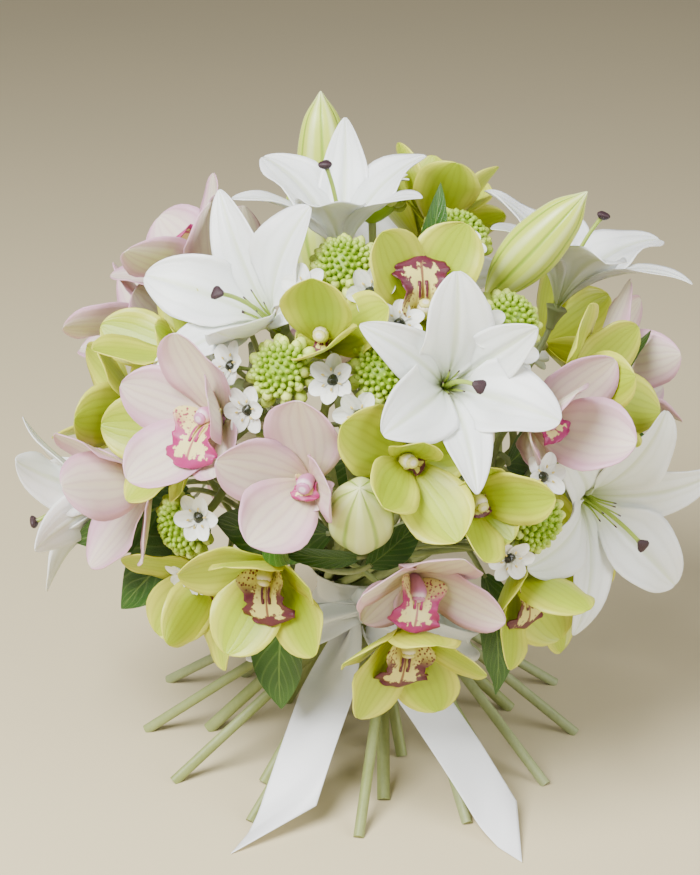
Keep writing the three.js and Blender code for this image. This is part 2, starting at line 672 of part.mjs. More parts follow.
// ---------------------------------------------------------------- leaves

function leafFrame({ at, heading, roll }) {
  const { point, facing } = place(at);
  const along = outward(...heading);
  const across = new THREE.Vector3().crossVectors(facing, along).normalize();
  const normal = new THREE.Vector3().crossVectors(along, across);
  const frame = new THREE.Matrix4().makeBasis(along, across, normal);
  frame.multiply(new THREE.Matrix4().makeRotationX(rad(roll)));
  return { frame: frame.setPosition(point), point, along };
}

function leaf(name, material, line, { length, width, ...form }, { size = 1, ...row }) {
  const { frame, point, along } = leafFrame(row);
  const shape = { length: length * size, width: width * size, ...form };
  const found = clearShape(shape, frame, (tried) => curvedBlade(tried, LEAF_STATIONS));
  if (!found) {
    return null;
  }
  const blade = curvedBlade(found, LEAF_STATIONS).transform(frame.elements);
  claim(name, material, [blade]);
  return { line, end: step(point, along, 4), facing: along, name, joins: [blade] };
}

// ---------------------------------------------------------------- star flowers

// Six pointed petals about a raised ovary, on a thin stalk that ends at the root, in one solid.
function starFlower(frame, root) {
  const ringPoint = (radius, turn, rise) => (
    new THREE.Vector3(radius * Math.cos(rad(turn)), radius * Math.sin(rad(turn)), rise)
  );
  const twelve = [...Array(12).keys()];
  const petals = twelve.map((k) => (
    k % 2 ? ringPoint(STAR.notch, 30 * k, STAR.dip) : ringPoint(STAR.radius, 30 * k, STAR.cup)));
  const [girth, height] = STAR.ovary;
  const ring = twelve.slice(6).map((k) => ringPoint(girth, 60 * k + 30, STAR.thickness));
  const under = petals.map((p) => step(p, UP, -STAR.thickness));
  const stalk = twelve.slice(6).map((k) => ringPoint(STAR.stalk, 60 * k + 30, STAR.dip - STAR.thickness));
  const upper = [...petals, ...ring, new THREE.Vector3(0, 0, height)];
  const points = [...upper, ...under, ...stalk].map((p) => p.applyMatrix4(frame));
  const faces = [];
  for (const k of twelve) {
    const next = (k + 1) % 12;
    faces.push([k, next, 12 + Math.floor(k / 2)]);
    faces.push([19 + next, 19 + k, 31 + Math.floor(k / 2)], [k, 19 + k, 19 + next], [k, 19 + next, next]);
  }
  for (let k = 0; k < 6; k++) {
    const next = 12 + ((k + 1) % 6);
    faces.push([12 + k, (2 * k + 2) % 12, next], [12 + k, next, 18]);
    faces.push([31 + k, next + 19, 19 + ((2 * k + 2) % 12)], [next + 19, 31 + k, 37]);
  }
  return solid([...points, root], faces);
}

// A dome whose cells are each raised to a point, a bud apiece.
function budDome(frame) {
  const { foot, top, sides, bud } = HEAD;
  const points = [new THREE.Vector3(0, 0, foot)];
  const faces = [];
  HEAD_RINGS.forEach(([height, radius], i) => {
    for (let k = 0; k < sides; k++) {
      const turn = (2 * Math.PI * (k + i / 2)) / sides;
      points.push(new THREE.Vector3(radius * Math.cos(turn), radius * Math.sin(turn), height));
    }
  });
  points.push(new THREE.Vector3(0, 0, top));
  const last = points.length - 1;
  for (let k = 0; k < sides; k++) {
    const next = (k + 1) % sides;
    faces.push([0, 1 + next, 1 + k], [last, last - sides + k, last - sides + next]);
    for (let a = 1; a + sides < last; a += sides) {
      const cell = [a + k, a + next, a + next + sides, a + k + sides];
      const middle = cell.reduce((sum, c) => sum.add(points[c]), new THREE.Vector3()).multiplyScalar(0.25);
      const out = middle.clone().setZ(middle.z * 0.9 + 3).normalize();
      points.push(step(middle, out, a === 1 ? 0.5 : bud));
      cell.forEach((c, i) => faces.push([c, cell[(i + 1) % 4], points.length - 1]));
    }
  }
  return solid(points.map((p) => p.applyMatrix4(frame)), faces);
}

function starHead(name, { at, open }) {
  const { point, facing, frame } = place(at);
  const shapes = [budDome(frame)];
  for (const turn of open) {
    const stand = STAR.turns.map((change) => {
      const spoke = outward(turn + change, 0);
      const centre = spoke.clone().multiplyScalar(STAR.away).setZ(STAR.rise);
      const looks = new THREE.Vector3(0, 0, 1).addScaledVector(spoke, STAR.lean).normalize();
      const root = spoke.clone().multiplyScalar(STAR.root).setZ(-1).applyMatrix4(frame);
      return starFlower(frame.clone().multiply(frameFacing(centre, looks, turn)), root);
    }).find((flower) => isClear(flower, GAP));
    if (stand) {
      shapes.push(stand);
    }
  }
  claim(name, MATERIALS.starGreen, shapes);
  return { end: step(point, facing, -6), facing, joins: shapes };
}

// ---------------------------------------------------------------- ribbon and twine

function stemReach(height) {
  const { radius, splay, thickness } = STEM_RINGS.outer;
  const away = Math.tan(rad(splay)) * (height - TIE_HEIGHT);
  const reach = Math.hypot(radius, away);
  const slant = (Math.tan(rad(splay)) * away) / reach;
  return reach + (thickness / 2) * Math.hypot(1, slant);
}

// A closed ring about the stems through [height, inner radius, outer radius] rows.
function ringSolid(rows, sides) {
  const outside = rows.map(([height, , outer]) => [height, outer]).reverse();
  const profile = [...rows.map(([height, inner]) => [height, inner]), ...outside];
  const spread = 1 / Math.cos(Math.PI / sides);
  const points = [];
  for (let k = 0; k < sides; k++) {
    const turn = (2 * Math.PI * k) / sides;
    for (const [h, radius] of profile) {
      points.push(new THREE.Vector3(radius * spread * Math.cos(turn), radius * spread * Math.sin(turn), h));
    }
  }
  const count = profile.length;
  const faces = [];
  for (let k = 0; k < sides; k++) {
    for (let i = 0; i < count; i++) {
      const a = k * count + i;
      const b = k * count + ((i + 1) % count);
      const c = ((k + 1) % sides) * count + i;
      const d = ((k + 1) % sides) * count + ((i + 1) % count);
      faces.push([a, b, d], [a, d, c]);
    }
  }
  return solid(points, faces);
}

function twine() {
  const half = TWINE.height / 2;
  const inner = stemReach(TIE_HEIGHT + half) + GAP;
  const rows = [-half, half].map((h) => [TIE_HEIGHT + h, inner, inner + TWINE.thickness]);
  return ringSolid(rows, BAND.sides);
}

function ribbonBand() {
  const half = BAND.height / 2;
  const rows = [-half, -TWINE.height / 2 - 1, TWINE.height / 2 + 1, half].map((h) => (
    [TIE_HEIGHT + h, bandReach(h), bandReach(h) + RIBBON.thickness]));
  return ringSolid(rows, BAND.sides);
}

// A flat strip through rows of [left edge, right edge].
function strip(rows) {
  const samples = rows.flatMap(([left, right], i) => {
    const before = rows[Math.max(i - 1, 0)];
    const after = rows[Math.min(i + 1, rows.length - 1)];
    const along = after[0].clone().add(after[1]).sub(before[0]).sub(before[1]);
    const normal = new THREE.Vector3().crossVectors(along, left.clone().sub(right)).normalize();
    return [{ point: left, normal }, { point: right, normal }];
  });
  const triangles = [];
  for (let a = 0; a + 2 < samples.length; a += 2) {
    triangles.push([a, a + 1, a + 3], [a, a + 3, a + 2]);
  }
  const rights = rows.map((_, i) => 2 * i + 1);
  const loop = [...rights, ...rights.map((a) => a - 1).reverse()];
  return thinSolid(samples, triangles, loop, RIBBON.thickness);
}

function tailHeight(share) {
  const out = Math.min(share, 1);
  const next = Math.max(1, TAIL_DROP.findIndex(([at]) => at >= out));
  const [from, above] = TAIL_DROP[next - 1];
  const [to, below] = TAIL_DROP[next];
  return THREE.MathUtils.mapLinear(out, from, to, above, below);
}

function ribbonTail({ tip, slant, root }) {
  const heading = new THREE.Vector3(tip[0] - root[0], tip[1] - root[1], 0);
  const full = heading.length();
  heading.normalize();
  const across = new THREE.Vector3(-heading.y, heading.x, 0);
  const rows = TAIL_DROP.map(([share, , wide]) => {
    const taken = Math.max(0, (share - TAIL_CUT_FROM) / (1 - TAIL_CUT_FROM));
    const half = (RIBBON.width / 2) * wide;
    const edge = (side) => {
      const out = share - (side * slant * taken) / full;
      return new THREE.Vector3(root[0], root[1], tailHeight(out))
        .addScaledVector(heading, out * full)
        .addScaledVector(across, side * half);
    };
    return [edge(1), edge(-1)];
  });
  return strip(rows);
}

function bowLoop({ root, end, depth, width }) {
  const start = new THREE.Vector3(...root);
  const rows = BOW_LOOP.map(([share, side, wide]) => {
    const centre = start.clone().lerp(new THREE.Vector3(...end), share);
    centre.y += side * depth;
    const half = (width / 2) * wide;
    return [centre.clone().setZ(centre.z + half), centre.clone().setZ(centre.z - half)];
  });
  return strip(rows);
}

function bandReach(height) {
  const overTwine = stemReach(TIE_HEIGHT + TWINE.height / 2) + TWINE.thickness + 2 * GAP;
  return Math.max(overTwine, stemReach(TIE_HEIGHT + height) + GAP);
}

// The knot sits on the front of the band, where the band has a corner.
function ribbonBow() {
  const { depth, height, rings } = KNOT;
  const front = (bandReach(0) + RIBBON.thickness) / Math.cos(Math.PI / BAND.sides);
  const knot = spindle(-height / 2, rings, height / 2, 8);
  const seated = knot.scale([1, depth / rings[1][1], 1]).translate([0, -front - GAP - depth, TIE_HEIGHT]);
  return [seated, ...BOW_LOOPS.map(bowLoop)];
}

// ---------------------------------------------------------------- the whole bouquet

const MATERIALS = {
  green: ["#acb746", 0.5],
  pink: ["#cabfba", 0.5],
  white: ["#e9ecea", 0.45],
  pistil: ["#a9b765", 0.5],
  stem: ["#8a9362", 0.6],
  starGreen: ["#8d9d3a", 0.55],
  leaf: ["#3c540b", 0.4],
  ribbon: ["#d9dce1", 0.35],
  twine: ["#b39a6b", 0.9],
};

const toRoute = []; // pedicels and petioles, run last, between everything else

claim("twine_tie", MATERIALS.twine, [twine()]);
claim("ribbon_band", MATERIALS.ribbon, [ribbonBand()]);

const grown = (rows, prefix) => rows.map((row, i) => (
  { ...row, name: `${prefix}_${i + 1}`, line: stemLine(row.ring, row.heading) }));
const lilyStems = grown(LILY_STEMS, "lily_stem");
const greenSprays = grown(GREEN_SPRAYS, "green_cymbidium_spray");
const pinkSprays = grown(PINK_SPRAYS, "pink_cymbidium_stem");
const starHeads = grown(STAR_HEADS, "star_flower_head");
const leafyStems = grown(LEAFY_STEMS, "leafy_stem");

for (const [stems, material] of [
  [[...lilyStems, ...pinkSprays, ...leafyStems], MATERIALS.stem],
  [greenSprays, MATERIALS.green],
  [starHeads, MATERIALS.starGreen],
]) {
  for (const { name, line } of stems) {
    claim(name, material, [stalk(line)]);
  }
}

claim("ribbon_bow", MATERIALS.ribbon, ribbonBow());
claim("ribbon_tail_left", MATERIALS.ribbon, [ribbonTail(TAILS.left)]);
claim("ribbon_tail_right", MATERIALS.ribbon, [ribbonTail(TAILS.right)]);

for (const { name, line, buds } of lilyStems) {
  for (const row of buds) {
    const bud = lilyBud(row);
    claim(name, MATERIALS.stem, [bud]);
    const { point, facing } = place(row.at);
    toRoute.push({ name, line, end: step(point, facing, 3), facing, joins: [bud] });
  }
}
for (const { name, line, ...row } of starHeads) {
  toRoute.push({ name, line, ...starHead(name, row), radius: 2.8 });
}
let lilyCount = 0;
for (const { name, line, blooms } of lilyStems) {
  for (const row of blooms) {
    lilyCount += 1;
    lily(`lily_bloom_${lilyCount}`, row);
    lilyPistil(`lily_pistil_${lilyCount}`, row);
    const { point, facing } = place(row.at);
    toRoute.push({ name, line, end: step(point, facing, -LILY_NECK - SEAT), facing });
  }
}
for (const { name, line, leaves } of leafyStems) {
  for (const row of leaves) {
    toRoute.push(leaf(name, MATERIALS.leaf, line, BROAD_LEAF, row));
  }
}
for (const { name, line, leaves } of lilyStems) {
  for (const row of leaves) {
    toRoute.push(leaf(name, MATERIALS.leaf, line, LILY_LEAF, row));
  }
}
const orchids = [
  ...greenSprays.flatMap((spray) => spray.blooms.map((at) => ({ ...spray, at }))),
  ...pinkSprays.flatMap((spray, i) => spray.blooms.map((at, k) => ({
    ...spray, at, bloomName: `pink_cymbidium_bloom_${3 * i + k + 1}`,
  }))),
].sort((a, b) => Math.abs(a.at[0]) - Math.abs(b.at[0]));
for (const { name, line, at, bloomName } of orchids) {
  const { point, facing } = place(at);
  if (bloomName) {
    orchid(bloomName, MATERIALS.pink, at, PINK_SCALE);
    toRoute.push({ name, line, end: step(point, facing, -OVARY * PINK_SCALE - SEAT), facing });
  } else {
    const plate = orchid(name, MATERIALS.green, at, GREEN_SCALE);
    toRoute.push({ name, line, end: step(point, facing, -OVARY * 0.4), facing, joins: [plate] });
  }
}
for (const route of toRoute.filter((entry) => entry)) {
  claim(route.name, null, pedicel(route));
}

const bouquet = new THREE.Group();
for (const [name, { material, pieces }] of nodes) {
  const fused = Manifold.union(pieces.map((piece) => piece.shape)).simplify(0.02);
  const bodies = fused.decompose().sort((a, b) => b.volume() - a.volume());
  const { vertProperties, triVerts } = bodies[0].getMesh();
  const geometry = new THREE.BufferGeometry();
  geometry.setAttribute("position", new THREE.BufferAttribute(vertProperties, 3));
  geometry.setIndex(new THREE.BufferAttribute(triVerts, 1));
  const [color, roughness] = material;
  const mesh = new THREE.Mesh(geometry, new THREE.MeshStandardMaterial({ color, roughness, metalness: 0 }));
  mesh.name = name;
  bouquet.add(mesh);
}

const box = new THREE.Box3().setFromObject(bouquet);
const middle = box.getCenter(new THREE.Vector3());
bouquet.position.set(-middle.x, -middle.y, -box.min.z);

export default bouquet;
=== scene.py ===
"""A hand-tied bouquet of white lilies, boat orchids, star flowers and dark leaves, with a satin ribbon.

Every flower stands where the bouquet's plan puts it. The plan is in millimetres and degrees, and a
piece is turned into metres as its mesh is made. A petal that was bent clear of its neighbours in
the solid model is found there by its tip, and the fine petal follows it.
"""

import math

import bpy
import numpy as np
from mathutils import Matrix, Vector
from mathutils.kdtree import KDTree


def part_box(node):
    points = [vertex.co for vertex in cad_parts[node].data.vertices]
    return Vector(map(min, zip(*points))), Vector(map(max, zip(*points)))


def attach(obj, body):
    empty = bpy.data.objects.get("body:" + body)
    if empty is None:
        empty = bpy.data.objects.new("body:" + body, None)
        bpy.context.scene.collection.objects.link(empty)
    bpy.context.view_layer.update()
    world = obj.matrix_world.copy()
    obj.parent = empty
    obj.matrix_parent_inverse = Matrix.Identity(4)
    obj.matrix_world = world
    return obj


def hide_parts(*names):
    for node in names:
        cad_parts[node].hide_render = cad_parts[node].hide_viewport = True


bl_info = {
    "name": "Mixed flower bouquet",
    "version": (1, 0, 0),
    "blender": (4, 5, 0),
    "location": "3D View > Sidebar > Bouquet",
    "description": "Lilies, orchids, star flowers, leaves and ribbon of a hand-tied bouquet",
    "category": "Add Mesh",
}

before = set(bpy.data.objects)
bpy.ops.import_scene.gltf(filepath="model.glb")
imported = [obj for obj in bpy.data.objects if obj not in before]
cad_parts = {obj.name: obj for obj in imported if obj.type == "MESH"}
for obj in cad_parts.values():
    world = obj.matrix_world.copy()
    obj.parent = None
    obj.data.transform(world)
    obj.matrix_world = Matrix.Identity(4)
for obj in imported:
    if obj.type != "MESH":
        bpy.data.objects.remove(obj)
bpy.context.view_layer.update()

MM = 0.001
SEED = 23

# ------------------------------------------------------------------ the plan, in millimetres

TIE_HEIGHT = 113
DOME = np.array([5.0, 0.0, 228.0])
UP = np.array([0.0, 0.0, 1.0])

STEM_RINGS = {
    "outer": {"radius": 24.5, "count": 13, "first": 4, "splay": 54, "thickness": 6.5, "top": 182},
    "middle": {"radius": 15, "count": 8, "first": 0, "splay": 44.5, "thickness": 7.9, "top": 220},
    "inner": {"radius": 7.1, "count": 5, "first": -14, "splay": 28, "thickness": 7, "top": 262},
    "centre": {"radius": 0, "count": 1, "first": 0, "splay": 3, "thickness": 6.4, "top": 292},
}
PEDICEL_RADIUS = 2
PEDICEL_DROPS = [3, 13, 23, 33, 43, 53, 63]
PEDICEL_LOWEST = 131
PEDICEL_BENDS = [26, 40, 14, 56, 70]
PEDICEL_LEAVING = 0.6
PEDICEL_SWINGS = [0, 12, -12, 26, -26, 40, -40]

SEPAL = {"length": 60, "width": 38, "lift": 30, "curl": 14, "cup": 0.2, "slim": 1.35, "blunt": 0.6}
PETAL = {"length": 57, "width": 33, "lift": 36, "curl": 10, "cup": 0.16, "slim": 1.35, "blunt": 0.65}
ORCHID_TURNS = [90, 18, -54, 234, 162]
ORCHID_SHAPES = [SEPAL, PETAL, SEPAL, SEPAL, PETAL]
GREEN_SCALE = 1.1
PINK_SCALE = 1.2
LIP = {"length": 38, "lift": 76, "curl": -84}
LIP_ROOT = 3
OVARY = 11
TIGHT_PETAL = {"length": 20, "width": 14, "lift": 34}
BLADE_THICKNESS = 0.85
NARROWING = 0.6  # how much narrower a shortened blade gets, as a share of what it lost
LIFT_STEPS = [0, 8, -8, 16, -16, 24, 32]
TEPAL_STEPS = [0, 14, -14, 28, -28, 42, 56, 70]
LENGTH_STEPS = [1, 0.87, 0.74, 0.6, 0.45, 0.32]
LIP_STEPS = [0, 8, 16, 24, -8, 32]
FOUND_WITHIN = 0.3  # a blade is the solid model's where its tip is this near to a corner there

TEPALS = [
    {"length": 106, "width": 33, "lift": 74, "curl": -78, "cup": 0.2, "slim": 0.62, "blunt": 0.72},
    {"length": 102, "width": 45, "lift": 76, "curl": -72, "cup": 0.22, "slim": 0.62, "blunt": 0.6},
]
TRUMPET_MOUTH = 0.4
TIGHT_TEPAL = {"bend": 90, "share": 0.5}
LILY_NECK = 12
PISTIL = {"length": 66, "bend": 9, "past_end": 2.6, "lowest": 6, "highest": 30, "step": 0.5}
BUD_PROFILE = [[0, 0], [0.05, 0.3], [0.22, 0.78], [0.48, 1], [0.78, 0.72], [0.95, 0.2], [1, 0]]

STAR = {"away": 31, "rise": 10.2, "lean": 0.45, "ovary": 4.2, "root": 10.2}
STAR_TURNS = [0, 14, -14, 28, -28]

BROAD_LEAF = {"length": 88, "width": 46, "lift": 4, "curl": -34, "cup": 0.16, "slim": 0.75, "blunt": 0.95}
LILY_LEAF = {"length": 70, "width": 18, "lift": 6, "curl": -42, "cup": 0.2, "slim": 0.7, "blunt": 1}

TWINE = {"height": 7, "thickness": 1.6}
RIBBON = {"width": 38, "thickness": 0.8}
BAND_HEIGHT = 26
BAND_SIDES = 16
GAP = 0.35
SEAT = 0.55
KNOT = {"depth": 7, "rings": [[-13, 0.2], [-12.5, 3], [-4.2, 8], [4.2, 8], [12.5, 3], [13, 0.2]]}
BOW_LOOPS = {
    "right": {"root": [3, -44, 112], "end": [78, -60, 90], "depth": 6.5, "width": 30},
    "left": {"root": [-3, -44, 112], "end": [-76, -62, 98], "depth": 6.5, "width": 30},
}
# Share of the way out, share of the depth, share of the loop's width.
BOW_LOOP = [
    [0, 0.25, 0.45], [0.3, 0.9, 0.8], [0.62, 1, 1], [0.9, 0.7, 1],
    [1, 0, 1], [0.9, -0.7, 1], [0.62, -1, 1], [0.3, -0.9, 0.8], [0, -0.25, 0.45],
]
TAILS = {
    "left": {"root": [-5.5, -39.6], "tip": [-58.2, -160.4], "slant": 26},
    "right": {"root": [4.8, -40.1], "tip": [104.1, -157.5], "slant": 22},
}
TAIL_CUT_FROM = 0.36  # share of the way from which the slant of the cut is taken up
TAIL_LOWEST = 0.75
# Share of the way out, height, share of the full width.
TAIL_DROP = [
    [0, 99.4, 0.3], [0.12, 90, 0.66], [0.36, 67, 1], [0.58, 43, 1],
    [0.76, 22, 1], [0.88, 8, 1], [1, TAIL_LOWEST, 1],
]

# A place is [azimuth, elevation, reach, turn aside, tilt up, roll] about the middle of the dome.
# Each stem is given by its ring in the bundle, its heading and what it carries.
GREEN_SPRAYS = [
    ("outer", 4, [[-23, -12, 158, 2, -4, 10], [9, -30, 162, 0, -6, -10], [8, 15, 160, 2, 4, 60]]),
    ("outer", 36, [[22, 5, 160, 4, 0, 0], [40, -20, 154, 2, -6, 0], [62, -28, 154, 0, -6, 40]]),
    ("outer", -60, [[-45, -22, 156, -4, -8, -10], [-78, 10, 156, 0, 0, 60], [-52, 13, 146, 0, 0, 100]]),
    ("middle", -90, [[-15, 42, 150, 4, -6, 0], [-60, 30, 158, 0, 4, 30], [16, 48, 158, 0, -6, 180]]),
    ("outer", 152, [[152, -6, 155, 0, 0, 30], [122, 14, 152, 0, 0, 120], [118, -26, 150, 0, -6, 200]]),
    ("inner", 140, [[59, 22, 160, 0, 0, 10], [142, 62, 148, 0, 0, 40], [160, 44, 152, 0, 0, 80]]),
]
PINK_SPRAYS = [
    ("middle", 0, [[-13, 10, 162, -2, 2, 0], [10, -15, 154, 0, -4, -20], [-37, 20, 164, -2, 0, 10]]),
    ("middle", -135, [[-60, -1, 165, -4, 0, 170], [-96, 28, 160, 0, 0, 20], [-88, 47, 156, 0, 0, 100]]),
    ("outer", 92, [[42, 18, 158, -4, 0, 20], [86, 18, 158, 0, 0, 10], [96, -12, 152, 0, 0, 140]]),
    ("outer", -178, [[-176, 4, 155, 0, 0, 20], [-140, 22, 152, 0, 0, 160], [-146, -20, 150, 0, -6, 60]]),
]
# Ring, heading, blooms (place, how much the tepals are lifted, how much their free ends are bent),
# buds (place, length, radius, paleness), leaves (place, heading, roll, size).
LILY_STEMS = [
    ("centre", 0, [([-60, 80, 118, 20, 4, 0], 8, 0), ([-46, 49, 121, 8, -8, 5], 2, 0)],
     [([-150, 66, 146, 0, 20, 0], 92, 17, 0.2)], [([30, 62, 140], [34, 66], 0, 1)]),
    ("middle", 44, [([24, 32, 128, -12, -5, 30], 8, 0), ([95, 33, 152, 0, 40, 0], -2, 0)],
     [([-2, -6, 148, 0, 52, 0], 86, 20, 0.9), ([62, 52, 140, 14, -2, 0], 98, 17, 0.1)],
     [([-2, -11, 147], [-84, 0], 0, 0.85)]),
    ("outer", 62, [([70, -9, 148, -38, 6, 10], -6, 0)], [], [([78, 8, 140], [80, -4], 0, 1)]),
    ("outer", -86, [([-78, -11, 156, -6, 2, 0], 10, 16), ([-128, 2, 116, 0, 0, 30], 0, 0)],
     [([-160, 34, 124, 0, 30, 0], 92, 18, 0.3)], []),
    ("outer", -148, [([168, 22, 116, 0, 0, 0], 0, 0)], [], [([150, -20, 140], [150, -60], 0, 1)]),
]
# Ring, heading, place, turns of the open flowers.
STAR_HEADS = [
    ("inner", 0, [-11, 60, 164, 0, -8, 0], [-40, 40]),
    ("inner", 72, [3, 34, 162, 0, 0, 0], [160, -80, -30]),
    ("inner", -72, [-23, 33, 164, 0, 0, 0], [-25, -85]),
    ("middle", -45, [-45, -6, 166, 0, 0, 0], [15, 125]),
    ("middle", 90, [43, 41, 166, 0, 4, 0], [-90, -40]),
    ("inner", 144, [58, 66, 162, 0, 0, 0], [-60, 20]),
    ("middle", 45, [37, -2, 168, 0, 4, 0], [-60, 180]),
    ("middle", 180, [178, 64, 158, 0, 0, 0], [60, 200]),
    ("outer", 120, [134, -6, 154, 0, 0, 0], [60, 180]),
]
# Ring, heading, leaves (place, heading, roll, size).
LEAFY_STEMS = [
    ("outer", -30, [([-58, -18, 132], [-74, -34], 10, 1), ([-72, -12, 130], [-96, -20], -20, 1),
                    ([-24, 2, 130], [-10, -2], 0, 1), ([-30, -34, 128], [-24, -62], 0, 1),
                    ([-1, -14, 148], [84, 40], 0, 0.55), ([-12, -12, 120], [-102, -8], 0, 1)]),
    ("outer", 120, [([48, -36, 128], [40, -64], 0, 1), ([72, 18, 140], [86, 26], 20, 0.85),
                    ([110, -36, 128], [112, -60], 0, 1), ([50, 2, 116], [140, 16], 0, 1),
                    ([14, -4, 118], [104, -4], 0, 1)]),
    ("outer", -118, [([-110, -24, 130], [-112, -50], 0, 1), ([-176, -30, 128], [-176, -60], 0, 1),
                     ([-140, 0, 136], [-156, -6], 0, 1), ([-70, -2, 118], [-160, 12], 0, 1)]),
]

# The solid model was centred on its footprint. The tie tells where the plan's axis went.
tie_low, tie_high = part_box("twine_tie")
PLAN_ORIGIN = np.array([
    (tie_low.x + tie_high.x) / 2,
    (tie_low.y + tie_high.y) / 2,
    (tie_low.z + tie_high.z) / 2 - TIE_HEIGHT * MM,
])


# ------------------------------------------------------------------ the plan's geometry

def unit(vector):
    return vector / np.linalg.norm(vector)


def outward(azimuth, elevation):
    """The direction at an azimuth, from the front towards the right, and an elevation."""
    turn, rise = math.radians(azimuth), math.radians(elevation)
    return np.array([math.cos(rise) * math.sin(turn), -math.cos(rise) * math.cos(turn), math.sin(rise)])


def turn_about_z(degrees):
    c, s = math.cos(math.radians(degrees)), math.sin(math.radians(degrees))
    return np.array([[c, -s, 0], [s, c, 0], [0, 0, 1.0]])


class Stand:
    """A place and three directions: a flower's own Z faces out and its own Y is the way up."""

    def __init__(self, point, axes, scale=1.0):
        self.point, self.axes, self.scale = np.asarray(point, float), axes, scale

    def put(self, points):
        return self.point + self.scale * np.asarray(points, float) @ self.axes.T

    def aim(self, directions):
        return np.asarray(directions, float) @ self.axes.T

    def turned(self, degrees):
        return Stand(self.point, self.axes @ turn_about_z(degrees), self.scale)

    def raised(self, height):
        return Stand(self.put([0, 0, height]), self.axes, self.scale)


def stand_facing(point, facing, roll=0.0, scale=1.0):
    side = unit(np.cross(UP, facing))
    rise = np.cross(facing, side)
    return Stand(point, np.column_stack([side, rise, facing]) @ turn_about_z(roll), scale)


def place(row, scale=1.0):
    """The stand of a flower at one of the plan's places."""
    azimuth, elevation, reach, aside, tilt, roll = (list(row) + [0, 0, 0])[:6]
    facing = outward(azimuth + aside, elevation + tilt)
    return stand_facing(DOME + reach * outward(azimuth, elevation), facing, roll, scale)


def half_width(shape, along):
    """Half the width of a blade, widest between its slim root and its blunt tip."""
    widest = shape["slim"] / (shape["slim"] + shape["blunt"])
    top = widest ** shape["slim"] * (1 - widest) ** shape["blunt"]
    profile = np.power(along, shape["slim"]) * np.power(1 - along, shape["blunt"])
    return shape["width"] / 2 * profile / top * (1 - NARROWING * (1 - shape.get("share", 1)))


def blade_line(start, bend, length, along):
    """Distance out, height and slope along a line that starts at an angle and turns evenly."""
    turn = math.radians(bend) or 1e-3
    first = math.radians(start)
    angle = first + turn * along
    return length / turn * (np.sin(angle) - math.sin(first)), length / turn * (math.cos(first) - np.cos(angle)), angle


def off_line(out, rise, angle, half, across, cup):
    """Points off a middle line, hollowed across, and the normals there."""
    nx, nz = -np.sin(angle), np.cos(angle)
    lift = cup * half * across * across
    points = np.stack([out + nx * lift, half * across, rise + nz * lift], -1)
    normals = np.stack([nx, -2 * cup * across + 0 * nx, nz], -1)
    return points, normals / np.linalg.norm(normals, axis=-1, keepdims=True)


def blade_points(shape, along, across):
    """Points and normals of a petal, a sepal or a leaf that bends evenly."""
    along, across = np.broadcast_arrays(np.asarray(along, float), np.asarray(across, float))
    line = blade_line(shape["lift"], shape["curl"], shape["length"] * shape.get("share", 1), along)
    return off_line(*line, half_width(shape, along), across, shape["cup"])


def tepal_line(shape, along):
    """The middle line of a lily's tepal, which bends anew where it leaves the trumpet."""
    mouth = TRUMPET_MOUTH
    trunk_turn = shape["curl"] * mouth
    out, rise, angle = blade_line(shape["lift"], trunk_turn, shape["length"] * mouth, np.minimum(along / mouth, 1))
    free = 1 - mouth
    bend = shape["curl"] * free + shape.get("bend", 0)
    length = shape["length"] * free * shape.get("share", 1)
    past = np.maximum((along - mouth) / free, 0)
    more = blade_line(shape["lift"] + trunk_turn, bend, length, past)
    return out + more[0], rise + more[1], np.where(along > mouth, more[2], angle)


def tepal_points(shape, along, across):
    along, across = np.broadcast_arrays(np.asarray(along, float), np.asarray(across, float))
    return off_line(*tepal_line(shape, along), half_width(shape, along), across, shape["cup"])


def to_metres(points):
    return np.asarray(points, float) * MM + PLAN_ORIGIN


# ------------------------------------------------------------------ finding what was bent

class Corners:
    """The corner points of one solid, to find which of several places a tip was given."""

    def __init__(self, node):
        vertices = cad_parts[node].data.vertices
        self.tree = KDTree(len(vertices))
        for i, vertex in enumerate(vertices):
            self.tree.insert(vertex.co, i)
        self.tree.balance()

    def distance(self, point):
        return self.tree.find(Vector(to_metres(point)))[2] / MM

    def nearest(self, choices, tip):
        """The choice whose tip lies nearest to a corner, and how far off it is."""
        ranked = [(self.distance(tip(choice)), i) for i, choice in enumerate(choices)]
        off, i = min(ranked)
        return choices[i], off


def tried_shapes(shape, changes, bent, tight):
    """The shapes that the solid model tries for a blade, in its order: full length first, tight last."""
    tried = [dict(shape, share=share, **{bent: shape[bent] + change})
             for share in LENGTH_STEPS for change in changes]
    return tried + ([dict(shape, **tight)] if tight else [])


def found_blade(corners, stand, shape, points, changes, bent, tight):
    """The shape that a blade has in the solid model, and how far off its tip is."""
    def tip(choice):
        point, normal = points(choice, 1.0, 0.0)
        return stand.put(point + normal * BLADE_THICKNESS / 2)

    return corners.nearest(tried_shapes(shape, changes, bent, tight), tip)


# ------------------------------------------------------------------ growing meshes

